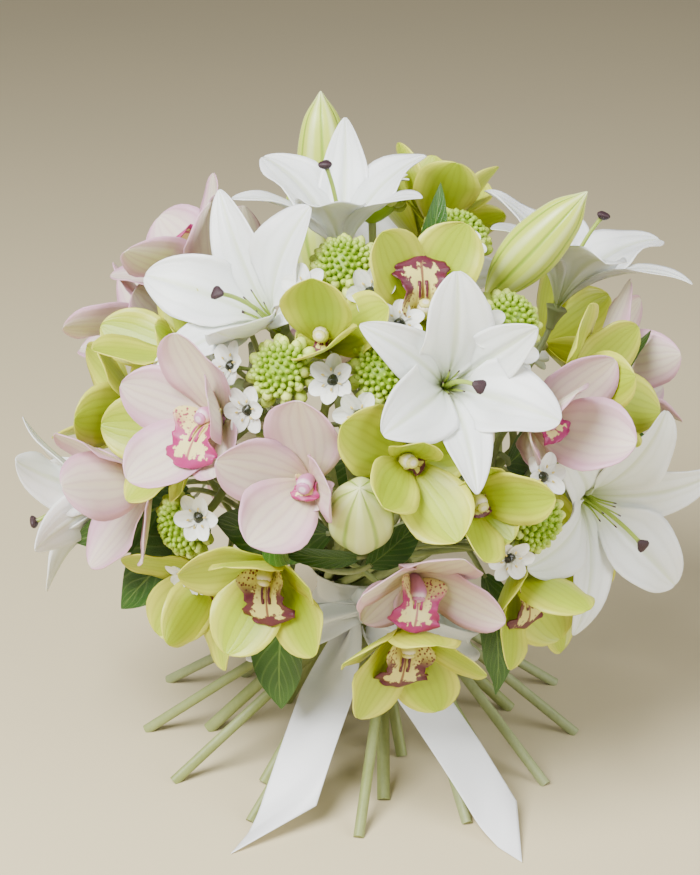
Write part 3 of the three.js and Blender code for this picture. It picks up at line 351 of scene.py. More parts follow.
class Growth:
    """Points, faces and marks of one piece. A mark is (along, across, tone) and steers the paint."""

    def __init__(self):
        self.points, self.faces, self.marks, self.kinds = [], [], [], []

    def add(self, points, faces, marks, kind):
        first = sum(len(p) for p in self.points)
        self.points.append(np.asarray(points, float).reshape(-1, 3))
        self.marks.append(np.asarray(marks, float).reshape(-1, 3))
        self.faces += [tuple(first + i for i in face) for face in faces]
        self.kinds += [kind] * len(faces)

    def grid(self, points, marks, kind, closed=False):
        rows, columns = points.shape[:2]
        faces = []
        for i in range(rows - 1):
            for j in range(columns if closed else columns - 1):
                k = (j + 1) % columns
                faces.append((i * columns + j, i * columns + k, (i + 1) * columns + k, (i + 1) * columns + j))
        self.add(points, faces, marks, kind)

    def lid(self, ring, middle, mark, kind, flipped=False):
        count = len(ring)
        faces = [(i, (i + 1) % count, count) for i in range(count)]
        if flipped:
            faces = [face[::-1] for face in faces]
        self.add(np.vstack([ring, middle]), faces, np.tile(mark, (count + 1, 1)), kind)


def sheet_marks(along, across, tone):
    return np.stack([along, across, np.full_like(along, tone)], -1)


def make_piece(name, growth, materials, replaced, thickness=0.0):
    """The object of a grown piece, which rides on the root and stands for its solids."""
    points = to_metres(np.vstack(growth.points))
    mesh = bpy.data.meshes.new(name)
    mesh.from_pydata(points.tolist(), [], growth.faces)
    mesh.attributes.new("blade", "FLOAT_VECTOR", "POINT").data.foreach_set(
        "vector", np.vstack(growth.marks).astype(np.float32).ravel())
    for material in materials:
        mesh.materials.append(material)
    mesh.polygons.foreach_set("material_index", growth.kinds)
    mesh.polygons.foreach_set("use_smooth", [True] * len(growth.faces))
    mesh.validate()
    piece = bpy.data.objects.new(name, mesh)
    bpy.context.scene.collection.objects.link(piece)
    if thickness:
        solidify = piece.modifiers.new("thickness", "SOLIDIFY")
        solidify.thickness = thickness
        solidify.offset = 0.0
    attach(piece, "root")
    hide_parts(*replaced)
    return piece


def smooth_path(points, steps):
    """A Catmull-Rom curve through points, with a number of steps between each two."""
    points = np.asarray(points, float)
    padded = np.vstack([2 * points[0] - points[1], points, 2 * points[-1] - points[-2]])
    made = []
    for i in range(len(points) - 1):
        a, b, c, d = padded[i:i + 4]
        for t in np.arange(steps) / steps:
            made.append(0.5 * (2 * b + (c - a) * t + (2 * a - 5 * b + 4 * c - d) * t * t
                               + (3 * b - a - 3 * c + d) * t ** 3))
    return np.array(made + [points[-1]])


def carried_normals(path, facing=None):
    """A direction square to the path at each point, carried along it without twist."""
    normal, carried = None, []
    for i in range(len(path)):
        along = unit(path[min(i + 1, len(path) - 1)] - path[max(i - 1, 0)])
        if facing is not None and i == len(path) - 1:
            along = facing
        if normal is None:
            normal = UP if abs(along[2]) < 0.9 else np.array([1.0, 0, 0])
        normal = unit(normal - along * (normal @ along))
        carried.append((normal, np.cross(along, normal)))
    return carried


def tube(growth, path, radii, kind, tone=0.5, sides=10, ridges=0.0):
    """A closed round tube along a path, with three low ridges where it has any."""
    path = np.asarray(path, float)
    radii = np.broadcast_to(np.asarray(radii, float), (len(path),))
    turns = np.arange(sides) * 2 * math.pi / sides
    rings = []
    for i, (normal, binormal) in enumerate(carried_normals(path)):
        swell = 1 + ridges * np.cos(3 * turns)
        spokes = np.outer(np.cos(turns) * swell, normal) + np.outer(np.sin(turns) * swell, binormal)
        rings.append(path[i] + spokes * radii[i])
    rings = np.array(rings)
    along = np.repeat(np.linspace(0, 1, len(path))[:, None], sides, 1)
    across = np.repeat(np.cos(turns)[None, :], len(path), 0)
    growth.grid(rings, sheet_marks(along, across, tone), kind, closed=True)
    growth.lid(rings[0], path[0], [0, 0, tone], kind, flipped=True)
    growth.lid(rings[-1], path[-1], [1, 0, tone], kind)


def turned_form(growth, stand, profile, kind, tone=0.5, sides=12, ribs=0.0, count=6, steps=4):
    """A smooth form of revolution through [height, radius], with ribs along it."""
    line = smooth_path([[h, r, 0] for h, r in profile], steps)
    turns = np.arange(sides) * 2 * math.pi / sides
    swell = 1 + ribs * np.cos(count * turns)
    radius = np.maximum(line[:, 1], 0.02)[:, None] * swell[None, :]
    points = np.stack([radius * np.cos(turns), radius * np.sin(turns),
                       np.repeat(line[:, 0][:, None], sides, 1)], -1)
    share = np.repeat(np.linspace(0, 1, len(line))[:, None], sides, 1)
    across = np.repeat(np.cos(count * turns)[None, :], len(line), 0)
    growth.grid(stand.put(points), sheet_marks(share, across, tone), kind, closed=True)
    for ring, point, flipped in ((points[0], [0, 0, line[0, 0]], True), (points[-1], [0, 0, line[-1, 0]], False)):
        growth.lid(stand.put(ring), stand.put(point), [float(not flipped), 0, tone], kind, flipped)


def eased(count, first=0.0, last=1.0):
    """Shares of the way that lie closer together at both ends."""
    even = np.linspace(0, 1, count)
    return first + (last - first) * (1 - np.cos(math.pi * even)) / 2


def blade_sheet(growth, stand, shape, kind, draw, rows, columns, wave, first=0.04, points=blade_points):
    """A thin blade whose edges ripple a little, each in its own way."""
    along, across = np.meshgrid(eased(rows, first, 0.996), np.linspace(-1, 1, columns), indexing="ij")
    spots, normals = points(shape, along, across)
    phase = draw.uniform(0, 2 * math.pi, 2)
    ripple = np.sin(9 * along + phase[0] + 1.3 * np.sign(across)) + 0.5 * np.sin(17 * along + phase[1])
    height = wave * half_width(shape, along) * np.abs(across) ** 2.5 * ripple
    spots = spots + normals * height[..., None]
    growth.grid(stand.put(spots), sheet_marks(along, across, draw.uniform()), kind)


# ------------------------------------------------------------------ materials

def shade(red, green, blue):
    """A colour of 0 to 255, as a screen shows it, for a shader."""
    return tuple(((c / 255 + 0.055) / 1.055) ** 2.4 for c in (red, green, blue))


def node(tree, kind, inputs=None, **settings):
    made = tree.nodes.new(kind)
    for key, value in settings.items():
        setattr(made, key, value)
    for key, value in (inputs or {}).items():
        if isinstance(value, bpy.types.NodeSocket):
            tree.links.new(value, made.inputs[key])
        else:
            made.inputs[key].default_value = value
    return made


def maths(tree, operation, first, second=0.0):
    return node(tree, "ShaderNodeMath", {0: first, 1: second}, operation=operation).outputs[0]


def times(tree, first, second):
    return maths(tree, "MULTIPLY", first, second)


def plus(tree, first, second):
    return maths(tree, "ADD", first, second)


def position(tree):
    """The place on the object, in metres."""
    return node(tree, "ShaderNodeNewGeometry").outputs["Position"]


def as_colour(value):
    """A colour as a node takes it: a socket as it is, and a shade made opaque."""
    return value if isinstance(value, bpy.types.NodeSocket) else (*value, 1)


def blend_colours(tree, factor, first, second):
    mixed = node(tree, "ShaderNodeMix", {0: factor, 6: as_colour(first), 7: as_colour(second)}, data_type="RGBA")
    return mixed.outputs[2]


def soft_step(tree, value, low, high):
    """Rises smoothly from 0 to 1 as a value goes from low to high."""
    return node(tree, "ShaderNodeMapRange", {0: value, 1: low, 2: high, 3: 0.0, 4: 1.0},
                interpolation_type="SMOOTHSTEP").outputs[0]


def new_group(name, inputs, outputs):
    """An empty node group with named inputs (name, default) and outputs."""
    group = bpy.data.node_groups.new(name, "ShaderNodeTree")
    for label, default in inputs:
        socket = group.interface.new_socket(label, in_out="INPUT", socket_type="NodeSocketFloat")
        socket.default_value = default
    for label in outputs:
        group.interface.new_socket(label, in_out="OUTPUT", socket_type="NodeSocketFloat")
    return group, node(group, "NodeGroupInput"), node(group, "NodeGroupOutput")


def blade_marks_group():
    """The way along a blade, how far it is off its middle, and its own tone."""
    group, _, end = new_group("blade marks", [], ["Along", "Off middle", "Tone", "Side"])
    marks = node(group, "ShaderNodeAttribute", attribute_name="blade")
    parts = node(group, "ShaderNodeSeparateXYZ", {0: marks.outputs["Vector"]})
    group.links.new(parts.outputs[0], end.inputs["Along"])
    group.links.new(maths(group, "ABSOLUTE", parts.outputs[1]), end.inputs["Off middle"])
    group.links.new(parts.outputs[2], end.inputs["Tone"])
    group.links.new(parts.outputs[1], end.inputs["Side"])
    return group


def long_veins_group(marks_group):
    """Fine veins that run from the root of a petal to its tip, and broad soft grooves."""
    group, start, end = new_group("long veins", [("Count", 30.0), ("Wander", 1.5)], ["Veins", "Grooves"])
    marks = node(group, "ShaderNodeGroup", node_tree=marks_group)
    noise = node(group, "ShaderNodeTexNoise", {"Vector": position(group), "Scale": 90.0, "Detail": 3.0})
    wander = times(group, maths(group, "SUBTRACT", noise.outputs["Fac"], 0.5), start.outputs["Wander"])
    angle = plus(group, times(group, marks.outputs["Side"], start.outputs["Count"]), wander)
    wave = times(group, plus(group, maths(group, "SINE", angle), 1.0), 0.5)
    group.links.new(maths(group, "POWER", wave, 3.0), end.inputs["Veins"])
    slow = maths(group, "SINE", times(group, angle, 0.31))
    group.links.new(times(group, plus(group, slow, 1.0), 0.5), end.inputs["Grooves"])
    return group


def grain_group():
    """Cell-fine grain and a slow mottle, both from the place on the object."""
    group, start, end = new_group("plant grain", [("Fine", 1400.0), ("Slow", 45.0)], ["Grain", "Mottle"])
    spot = position(group)
    fine = node(group, "ShaderNodeTexNoise", {"Vector": spot, "Scale": start.outputs["Fine"], "Detail": 2.0})
    slow = node(group, "ShaderNodeTexNoise", {"Vector": spot, "Scale": start.outputs["Slow"], "Detail": 4.0})
    group.links.new(fine.outputs["Fac"], end.inputs["Grain"])
    group.links.new(slow.outputs["Fac"], end.inputs["Mottle"])
    return group


class Paints:
    """Every material of the bouquet, made once and shared by its pieces."""

    def __init__(self, looks):
        self.looks = looks
        self.marks = blade_marks_group()
        self.veins = long_veins_group(self.marks)
        self.grain = grain_group()
        self.made = {}

    def get(self, name):
        if name not in self.made:
            self.made[name] = getattr(self, name)()
        return self.made[name]

    def begin(self, name, roughness, softness=0.0, **plain):
        material = bpy.data.materials.new(name)
        material.use_nodes = True
        tree = material.node_tree
        shader = tree.nodes["Principled BSDF"]
        shader.inputs["Roughness"].default_value = roughness
        shader.inputs["Subsurface Weight"].default_value = softness
        shader.inputs["Subsurface Radius"].default_value = (1.0, 0.9, 0.6)
        shader.inputs["Subsurface Scale"].default_value = 0.004
        for key, value in plain.items():
            shader.inputs[key.replace("_", " ")].default_value = value
        marks = node(tree, "ShaderNodeGroup", node_tree=self.marks).outputs
        grain = node(tree, "ShaderNodeGroup", {"Fine": 1400.0, "Slow": 45.0}, node_tree=self.grain).outputs
        return material, tree, shader, marks, grain

    def finish(self, tree, shader, colour, height, depth):
        tree.links.new(colour, shader.inputs["Base Color"])
        bump = node(tree, "ShaderNodeBump", {"Height": height, "Strength": 0.6, "Distance": depth})
        tree.links.new(bump.outputs[0], shader.inputs["Normal"])

    def petal(self, name, base, root, edge, vein, count, roughness, softness=0.25, depth=0.0004, rim=0.6,
              veining=0.24, middle=0.0):
        """Toned petal by petal, paler or greener at the root, with its own colour at the rim and fine veins."""
        material, tree, shader, marks, grain = self.begin(name, roughness, softness)
        veins = node(tree, "ShaderNodeGroup", {"Count": count, "Wander": 2.6}, node_tree=self.veins).outputs
        toned = blend_colours(tree, times(tree, marks["Tone"], 0.25), base, edge)
        uneven = plus(tree, marks["Off middle"], times(tree, grain["Mottle"], 0.5))
        edged = times(tree, soft_step(tree, uneven, 0.55, 1.25), rim)
        rimmed = blend_colours(tree, edged, toned, edge)
        rooted = blend_colours(tree, soft_step(tree, marks["Along"], 0.45, 0.02), rimmed, root)
        line = times(tree, soft_step(tree, marks["Off middle"], 0.16, 0.02), middle)
        centred = blend_colours(tree, line, rooted, root)
        lined = blend_colours(tree, times(tree, veins["Veins"], veining), centred, vein)
        mottled = blend_colours(tree, times(tree, grain["Mottle"], 0.18), lined, vein)
        height = plus(tree, times(tree, grain["Grain"], 0.25),
                      plus(tree, veins["Grooves"], times(tree, veins["Veins"], -0.3)))
        self.finish(tree, shader, mottled, height, depth)
        return material

    def green_petal(self):
        return self.petal("green orchid petal", self.looks.green_petal, root=shade(178, 186, 34),
                          edge=shade(218, 216, 84), vein=shade(132, 148, 10), count=26.0, roughness=0.42, rim=0.8)

    def pink_petal(self):
        return self.petal("pink orchid petal", self.looks.pink_petal, root=shade(216, 206, 156),
                          edge=shade(206, 152, 180), vein=shade(178, 122, 152), count=22.0, roughness=0.45,
                          rim=0.85, middle=0.2)

    def lily_petal(self):
        return self.petal("lily tepal", self.looks.lily_white, root=shade(196, 212, 138),
                          edge=shade(246, 246, 246), vein=shade(212, 218, 206), count=14.0, roughness=0.38,
                          softness=0.3, depth=0.0009, middle=0.45)

    def star_petal(self):
        return self.petal("star flower petal", shade(240, 242, 236), root=shade(220, 226, 200),
                          edge=shade(248, 248, 244), vein=shade(214, 220, 202), count=10.0, roughness=0.5)

    def lip(self, name, inside, spots, edge, band):
        """Cream inside with spots and a dark line down the middle, and a broad blotchy rim."""
        material, tree, shader, marks, grain = self.begin(name, 0.42, 0.2)
        spot = position(tree)
        cells = node(tree, "ShaderNodeTexVoronoi", {"Vector": spot, "Scale": 460.0, "Randomness": 1.0})
        blots = node(tree, "ShaderNodeTexNoise", {"Vector": spot, "Scale": 260.0, "Detail": 3.0}).outputs["Fac"]
        dots = soft_step(tree, cells.outputs["Distance"], 0.46, 0.26)
        lobes = times(tree, soft_step(tree, marks["Off middle"], 0.22, 0.6), soft_step(tree, marks["Along"], 0.62, 0.5))
        spotted = blend_colours(tree, times(tree, dots, lobes), inside, spots)
        line = times(tree, soft_step(tree, marks["Off middle"], 0.07, 0.03), soft_step(tree, marks["Along"], 0.3, 0.42))
        lined = blend_colours(tree, times(tree, line, 0.85), spotted, spots)
        ragged = times(tree, maths(tree, "SUBTRACT", blots, 0.5), 0.9)
        side = soft_step(tree, plus(tree, marks["Off middle"], ragged), 1 - band, 1 - band * 0.8)
        front = soft_step(tree, plus(tree, marks["Along"], times(tree, ragged, 0.4)), 1 - band * 0.42, 1 - band * 0.32)
        past_root = soft_step(tree, marks["Along"], 0.3, 0.5)
        rim = times(tree, maths(tree, "MAXIMUM", side, front), past_root)
        rimmed = blend_colours(tree, rim, lined, edge)
        self.finish(tree, shader, rimmed, grain["Grain"], 0.0003)
        return material

    def green_lip(self):
        return self.lip("green orchid lip", inside=shade(226, 214, 120), spots=shade(110, 26, 40),
                        edge=self.looks.lip_edge, band=0.46)

    def pink_lip(self):
        return self.lip("pink orchid lip", inside=shade(226, 214, 140), spots=shade(150, 60, 84),
                        edge=shade(158, 36, 102), band=0.44)

    def green_column(self):
        return self.column_paint("green orchid column", shade(206, 200, 84), shade(236, 224, 204))

    def pink_column(self):
        return self.column_paint("pink orchid column", shade(178, 96, 146), shade(226, 200, 210))

    def column_paint(self, name, base, cap):
        """Waxy, with a paler cap over its end."""
        material, tree, shader, marks, grain = self.begin(name, 0.4, 0.2)
        mottled = blend_colours(tree, times(tree, grain["Mottle"], 0.3), base, cap)
        colour = blend_colours(tree, soft_step(tree, marks["Along"], 0.78, 0.92), mottled, cap)
        self.finish(tree, shader, colour, grain["Grain"], 0.0002)
        return material

    def stem(self):
        return self.stalk_paint("stem", self.looks.stem_green, shade(112, 124, 74))

    def spray_stem(self):
        return self.stalk_paint("orchid stalk", shade(136, 148, 74), shade(108, 120, 52))

    def stalk_paint(self, name, base, dark):
        """Green with long fibres and pale blotches."""
        material, tree, shader, _, grain = self.begin(name, 0.5, 0.05)
        spot = position(tree)
        stretched = node(tree, "ShaderNodeMapping", {"Vector": spot, "Scale": (420.0, 420.0, 26.0)})
        fibres = node(tree, "ShaderNodeTexNoise", {"Vector": stretched.outputs[0], "Scale": 1.0, "Detail": 3.0})
        toned = blend_colours(tree, fibres.outputs["Fac"], base, dark)
        mottled = blend_colours(tree, times(tree, grain["Mottle"], 0.5), toned, shade(176, 184, 136))
        self.finish(tree, shader, mottled, fibres.outputs["Fac"], 0.0005)
        return material

    def bud_skin(self):
        """Yellow-green with darker seams. A pale bud is whitish between them and at its tip."""
        material, tree, shader, marks, grain = self.begin("lily bud skin", 0.36, 0.15)
        base = blend_colours(tree, marks["Tone"], shade(196, 212, 66), shade(206, 218, 138))
        tip = times(tree, soft_step(tree, marks["Along"], 0.72, 0.98), 0.8)
        tipped = blend_colours(tree, tip, base, shade(230, 234, 190))
        ridge = times(tree, soft_step(tree, marks["Side"], -0.2, -1.0), 0.5)
        pale = blend_colours(tree, ridge, tipped, shade(228, 234, 180))
        seam = soft_step(tree, marks["Side"], 0.72, 0.98)
        seamed = blend_colours(tree, times(tree, seam, 0.75), pale, shade(128, 166, 30))
        mottled = blend_colours(tree, times(tree, grain["Mottle"], 0.2), seamed, shade(150, 180, 40))
        self.finish(tree, shader, mottled, maths(tree, "SUBTRACT", grain["Mottle"], seam), 0.0007)
        return material

    def style_skin(self):
        """Yellow-green, and dark just under the stigma or at a filament's cut end."""
        material, tree, shader, marks, grain = self.begin("lily style", 0.4, 0.1)
        tip = soft_step(tree, marks["Along"], 0.9, 0.97)
        colour = blend_colours(tree, tip, shade(150, 172, 62), shade(58, 34, 40))
        self.finish(tree, shader, colour, grain["Grain"], 0.0002)
        return material

    def speckled(self, name, roughness, mask, first, second, depth=0.0003):
        """Two shades of one colour, mixed by the fine grain or the slow mottle."""
        material, tree, shader, _, grain = self.begin(name, roughness)
        colour = blend_colours(tree, grain[mask], first, second)
        self.finish(tree, shader, colour, grain["Grain"], depth)
        return material

    def stigma_skin(self):
        return self.speckled("lily stigma", 0.55, "Grain", shade(30, 16, 22), shade(66, 38, 46), depth=0.0006)

    def star_eye(self):
        return self.speckled("star flower eye", 0.22, "Mottle", shade(14, 18, 12), shade(44, 50, 26))

    def anther(self):
        return self.speckled("star flower anther", 0.7, "Grain", shade(226, 206, 120), shade(196, 170, 70))

    def star_bud(self):
        """Fresh green on the small buds of the crown, and paler on the large ones."""
        material, tree, shader, marks, grain = self.begin("star flower bud", 0.45, 0.2)
        base = blend_colours(tree, marks["Tone"], shade(142, 178, 14), shade(214, 226, 112))
        tipped = blend_colours(tree, soft_step(tree, marks["Along"], 0.88, 1.0), base, shade(120, 150, 40))
        self.finish(tree, shader, tipped, grain["Grain"], 0.0003)
        return material

    def leaf(self):
        """Dark green with slanting side veins and a pale midrib."""
        material, tree, shader, marks, grain = self.begin("dark leaf", 0.34, 0.05)
        slant = maths(tree, "SUBTRACT", times(tree, marks["Along"], 52.0), times(tree, marks["Off middle"], 16.0))
        wave = times(tree, plus(tree, maths(tree, "SINE", slant), 1.0), 0.5)
        ribs = maths(tree, "POWER", wave, 8.0)
        midrib = soft_step(tree, marks["Off middle"], 0.06, 0.02)
        lines = maths(tree, "MAXIMUM", times(tree, ribs, 0.4), midrib)
        toned = blend_colours(tree, grain["Mottle"], self.looks.leaf_green, shade(40, 78, 20))
        lined = blend_colours(tree, times(tree, lines, 0.7), toned, shade(118, 150, 70))
        height = maths(tree, "SUBTRACT", grain["Grain"], times(tree, lines, 1.5))
        self.finish(tree, shader, lined, height, 0.0006)
        return material

    def satin(self):
        """Fine slanting threads, smoother where they catch the light, and a narrow woven hem."""
        material, tree, shader, marks, _ = self.begin("satin ribbon", 0.34, Sheen_Weight=0.35, Sheen_Roughness=0.4)
        spot = position(tree)
        threads = node(tree, "ShaderNodeTexWave", {"Vector": spot, "Scale": 900.0, "Distortion": 1.2, "Detail": 1.0},
                       bands_direction="DIAGONAL").outputs["Fac"]
        hem = soft_step(tree, marks["Off middle"], 0.93, 0.97)
        base = blend_colours(tree, times(tree, threads, 0.25), self.looks.ribbon_white, shade(206, 208, 214))
        hemmed = blend_colours(tree, times(tree, hem, 0.4), base, shade(244, 245, 247))
        rough = plus(tree, times(tree, threads, 0.12), 0.3)
        tree.links.new(rough, shader.inputs["Roughness"])
        height = plus(tree, times(tree, threads, 0.3), hem)
        self.finish(tree, shader, hemmed, height, 0.0002)
        return material

    def twine(self):
        """Jute whose strands turn round it."""
        material, tree, shader, marks, grain = self.begin("twine", 0.9)
        turns = maths(tree, "SINE", plus(tree, times(tree, marks["Along"], 900.0), times(tree, marks["Side"], 2.0)))
        colour = blend_colours(tree, grain["Grain"], shade(150, 124, 82), shade(196, 172, 128))
        self.finish(tree, shader, colour, turns, 0.0006)
        return material

    def floor(self):
        material, tree, shader, _, _ = self.begin("pale floor", 0.8)
        spot = position(tree)
        slow = node(tree, "ShaderNodeTexNoise", {"Vector": spot, "Scale": 1.4, "Detail": 3.0})
        colour = blend_colours(tree, times(tree, slow.outputs["Fac"], 0.3), self.looks.floor_colour,
                               shade(190, 180, 156))
        self.finish(tree, shader, colour, slow.outputs["Fac"], 0.0001)
        return material


# ------------------------------------------------------------------ stems

STALK_SWELL = 1.12  # the fine stalk is ribbed, so it is drawn a little thicker than the plain one
STALK_RINGS = 14


class StemSlots:
    """Hands out the places in the spiral of stems in the order in which it was bound."""

    def __init__(self):
        self.taken = set()

    def line(self, ring_name, heading):
        ring = STEM_RINGS[ring_name]

        def azimuth_of(slot):
            return ring["first"] + 360 / ring["count"] * slot

        free = [slot for slot in range(ring["count"]) if (ring_name, slot) not in self.taken]
        slot = min(free, key=lambda s: (round(1 - math.cos(math.radians(azimuth_of(s) - heading)), 12), s))
        self.taken.add((ring_name, slot))
        return StemLine(ring, azimuth_of(slot))


class StemLine:
    """The straight line of one stem, which leans past the bouquet's axis in the spiral."""

    def __init__(self, ring, azimuth):
        self.ring = ring
        self.waist = ring["radius"] * outward(azimuth - 90, 0)
        self.slope = math.tan(math.radians(ring["splay"])) * outward(azimuth, 0)
        self.direction = unit(self.at(1) - self.at(0))

    def at(self, height):
        point = self.waist + self.slope * (height - TIE_HEIGHT)
        return np.array([point[0], point[1], height])


def bind_stems():
    """The stem line of every stem, by node name."""
    slots = StemSlots()
    groups = [("lily_stem", LILY_STEMS), ("green_cymbidium_spray", GREEN_SPRAYS),
              ("pink_cymbidium_stem", PINK_SPRAYS), ("star_flower_head", STAR_HEADS), ("leafy_stem", LEAFY_STEMS)]
    return {f"{prefix}_{i + 1}": slots.line(row[0], row[1])
            for prefix, rows in groups for i, row in enumerate(rows)}


stem_lines = bind_stems()


def grow_stalk(growth, line, kind):
    """A ribbed stalk that is cut flat where it stands on the table and tapers a quarter towards its top."""
    radius = line.ring["thickness"] / 2 * STALK_SWELL
    heights = np.linspace(0.3, line.ring["top"], STALK_RINGS)
    path = np.array([line.at(height) for height in heights])
    first = len(growth.points)
    tube(growth, path, radius * (1 - 0.25 * np.linspace(0, 1, STALK_RINGS) ** 2), kind, sides=16, ridges=0.06)
    for points in growth.points[first:]:
        below = np.minimum(points[:, 2:3], 0.0)
        points -= line.direction * below / line.direction[2]


def bezier(points, steps):
    """Points on the cubic curve of four control points."""
    t = np.linspace(0, 1, steps + 1)[:, None]
    a, b, c, d = points
    return a * (1 - t) ** 3 + 3 * b * t * (1 - t) ** 2 + 3 * c * t * t * (1 - t) + d * t ** 3


def pedicel_path(line, end, facing, choice, steps):
    """The way of a pedicel, which leaves its stem upwards and meets the flower from behind."""
    height, reach, swing = choice
    start = line.at(height)
    aside = unit(np.cross(line.direction, facing)) * swing
    leaving = start + line.direction * reach * PEDICEL_LEAVING + aside
    return bezier([start, leaving, end - facing * reach + aside, end], steps)


def found_pedicel(corners, line, end, facing, radius):
    """The path of a pedicel in the solid model, by the corners of its third ring."""
    heights = [line.ring["top"] - drop for drop in PEDICEL_DROPS if line.ring["top"] - drop > PEDICEL_LOWEST]
    choices = [(h, reach, swing) for swing in PEDICEL_SWINGS for reach in PEDICEL_BENDS for h in heights]

    def ring_corner(choice, i, side):
        path = pedicel_path(line, end, facing, choice, 3)
        normal, binormal = carried_normals(path, facing)[i]
        return path[i] + radius * (normal, binormal)[side % 2] * (1 - side // 2 * 2)

    def off(choice):
        return min(sum(sorted(corners.distance(ring_corner(choice, i, side)) for side in range(4))[:2])
                   for i in (1, 2))

    ranked = [(off(choice), i) for i, choice in enumerate(choices)]
    return choices[min(ranked)[1]]


def grow_pedicel(growth, corners, line, end, facing, kind, tone=0.5, radius=PEDICEL_RADIUS):
    """A round pedicel along the way that it has in the solid model."""
    choice = found_pedicel(corners, line, end, facing, radius)
    path = pedicel_path(line, end, facing, choice, 14)
    tube(growth, path, radius, kind, tone, sides=9, ridges=0.04)


# ------------------------------------------------------------------ orchids

ORCHID_KINDS = {"petal": 0, "lip": 1, "column": 2, "stem": 3}
FINE_PETAL = {"slim": 0.9, "wider": 1.08}
SHORT_LIP = 0.6  # share of the lip's length where the solid model has none


def finer(shape, slim, wider):
    """A fine blade over the plain one of the solid model: fuller at its root and a little wider."""
    return dict(shape, slim=slim, width=shape["width"] * wider)


def lip_rows(values, along):
    """Values along a smooth line through (share of the way, value)."""
    shares, numbers = zip(*values)
    line = smooth_path([[s, v, 0] for s, v in zip(shares, numbers)], 8)
    return np.interp(along, line[:, 0], line[:, 1])


# Half the lip's width, and how far its edges stand up, by the share of the way along it.
LIP_HALF = [(0, 1.5), (0.18, 9), (0.34, 15), (0.48, 12.5), (0.6, 12), (0.78, 17), (0.92, 12.5), (1, 3)]
LIP_RISE = [(0, 0), (0.18, 8), (0.34, 11), (0.52, 5), (0.7, 0), (0.84, -3), (1, -1.5)]


def grow_lip(growth, stand, shape, draw):
    """Two side lobes that stand up beside the column and a frilled lobe that rolls down in front."""
    rows, columns = 34, 21
    along, across = np.meshgrid(eased(rows, 0.02, 0.995), np.linspace(-1, 1, columns), indexing="ij")
    share = shape.get("share", 1)
    frill_phase = draw.uniform(0, 6)
    edge = 1 + 0.05 * np.sin(40 * along + frill_phase) * (along > 0.45)
    half = lip_rows(LIP_HALF, along) * share * edge
    rise = lip_rows(LIP_RISE, along) * share
    out, up, angle = blade_line(shape["lift"], shape["curl"], shape["length"] * share, along)
    ruffle = np.sin(31 * along + frill_phase + 2 * np.sign(across)) + 0.6 * np.sin(53 * along + 1.7 * frill_phase)
    lift = rise * across ** 2 + 1.5 * share * ruffle * np.abs(across) ** 4 * np.clip((along - 0.35) / 0.15, 0, 1)
    points = np.stack([out - np.sin(angle) * lift, half * across, up + np.cos(angle) * lift], -1)
    growth.grid(stand.put(points), sheet_marks(along, across, draw.uniform()), ORCHID_KINDS["lip"])
    way = np.linspace(0, 1, 9)
    keel = blade_line(shape["lift"], shape["curl"], shape["length"] * share, np.linspace(0.2, 0.62, len(way)))
    ridge = 1.2 * np.sin(math.pi * way) + 0.3
    for side in (-1, 1):
        line = np.stack([keel[0] - np.sin(keel[2]) * ridge, np.full(len(way), side * 2.1 * share),
                         keel[1] + np.cos(keel[2]) * ridge], -1)
        tube(growth, stand.put(line), 0.9 * share, ORCHID_KINDS["lip"], 0.4, sides=6)


def grow_orchid(growth, corners, row, scale, draw):
    """Three sepals and two petals, the lip under its column, and the ovary behind."""
    stand = place(row, scale)
    for turn, shape in zip(ORCHID_TURNS, ORCHID_SHAPES):
        blade, _ = found_blade(corners, stand.turned(turn), shape, blade_points, LIFT_STEPS, "lift", TIGHT_PETAL)
        fine = dict(finer(blade, **FINE_PETAL), cup=blade["cup"] * draw.uniform(0.9, 1.25))
        blade_sheet(growth, stand.turned(turn), fine, ORCHID_KINDS["petal"], draw, rows=17, columns=11, wave=0.07)
    lip_stand = stand.raised(LIP_ROOT).turned(270)
    choices = tried_shapes(LIP, LIP_STEPS, "lift", None)

    def lip_tip(choice):
        out, rise, angle = blade_line(choice["lift"], choice["curl"], choice["length"] * choice["share"], 1.0)
        half = BLADE_THICKNESS / 2
        return lip_stand.put([out - math.sin(angle) * half, 0, rise + math.cos(angle) * half])

    lip, off = corners.nearest(choices, lip_tip)
    grow_lip(growth, lip_stand, lip if off < FOUND_WITHIN else dict(LIP, share=SHORT_LIP), draw)
    arch = smooth_path([[0, 0, 1], [0, 2.2, 8], [0, 2.4, 14], [0, 0.4, 18.4]], 4)
    girth = scale * np.interp(np.linspace(0, 1, len(arch)), [0, 0.3, 0.8, 1], [3.8, 3.6, 4.4, 2.6])
    tube(growth, stand.put(arch), girth, ORCHID_KINDS["column"], draw.uniform())
    cap = stand_facing(stand.put([0, 0.2, 18.2]), stand.aim([0, -0.3, 0.95]), 0, scale)
    turned_form(growth, cap, [[-1.6, 0.4], [-0.8, 3.0], [0.9, 3.1], [1.6, 0.3]], ORCHID_KINDS["column"], 0.95,
                sides=10, ribs=0.06, count=2)
    turned_form(growth, stand, [[-OVARY, 1.9], [-6, 2.7], [0, 4.4], [2.6, 3.4]], ORCHID_KINDS["stem"], 0.6,
                sides=12, ribs=0.1, count=3)
    return stand


def orchid_materials(colour):
    return painted(f"{colour}_petal", f"{colour}_lip", f"{colour}_column", "spray_stem")


# ------------------------------------------------------------------ lilies

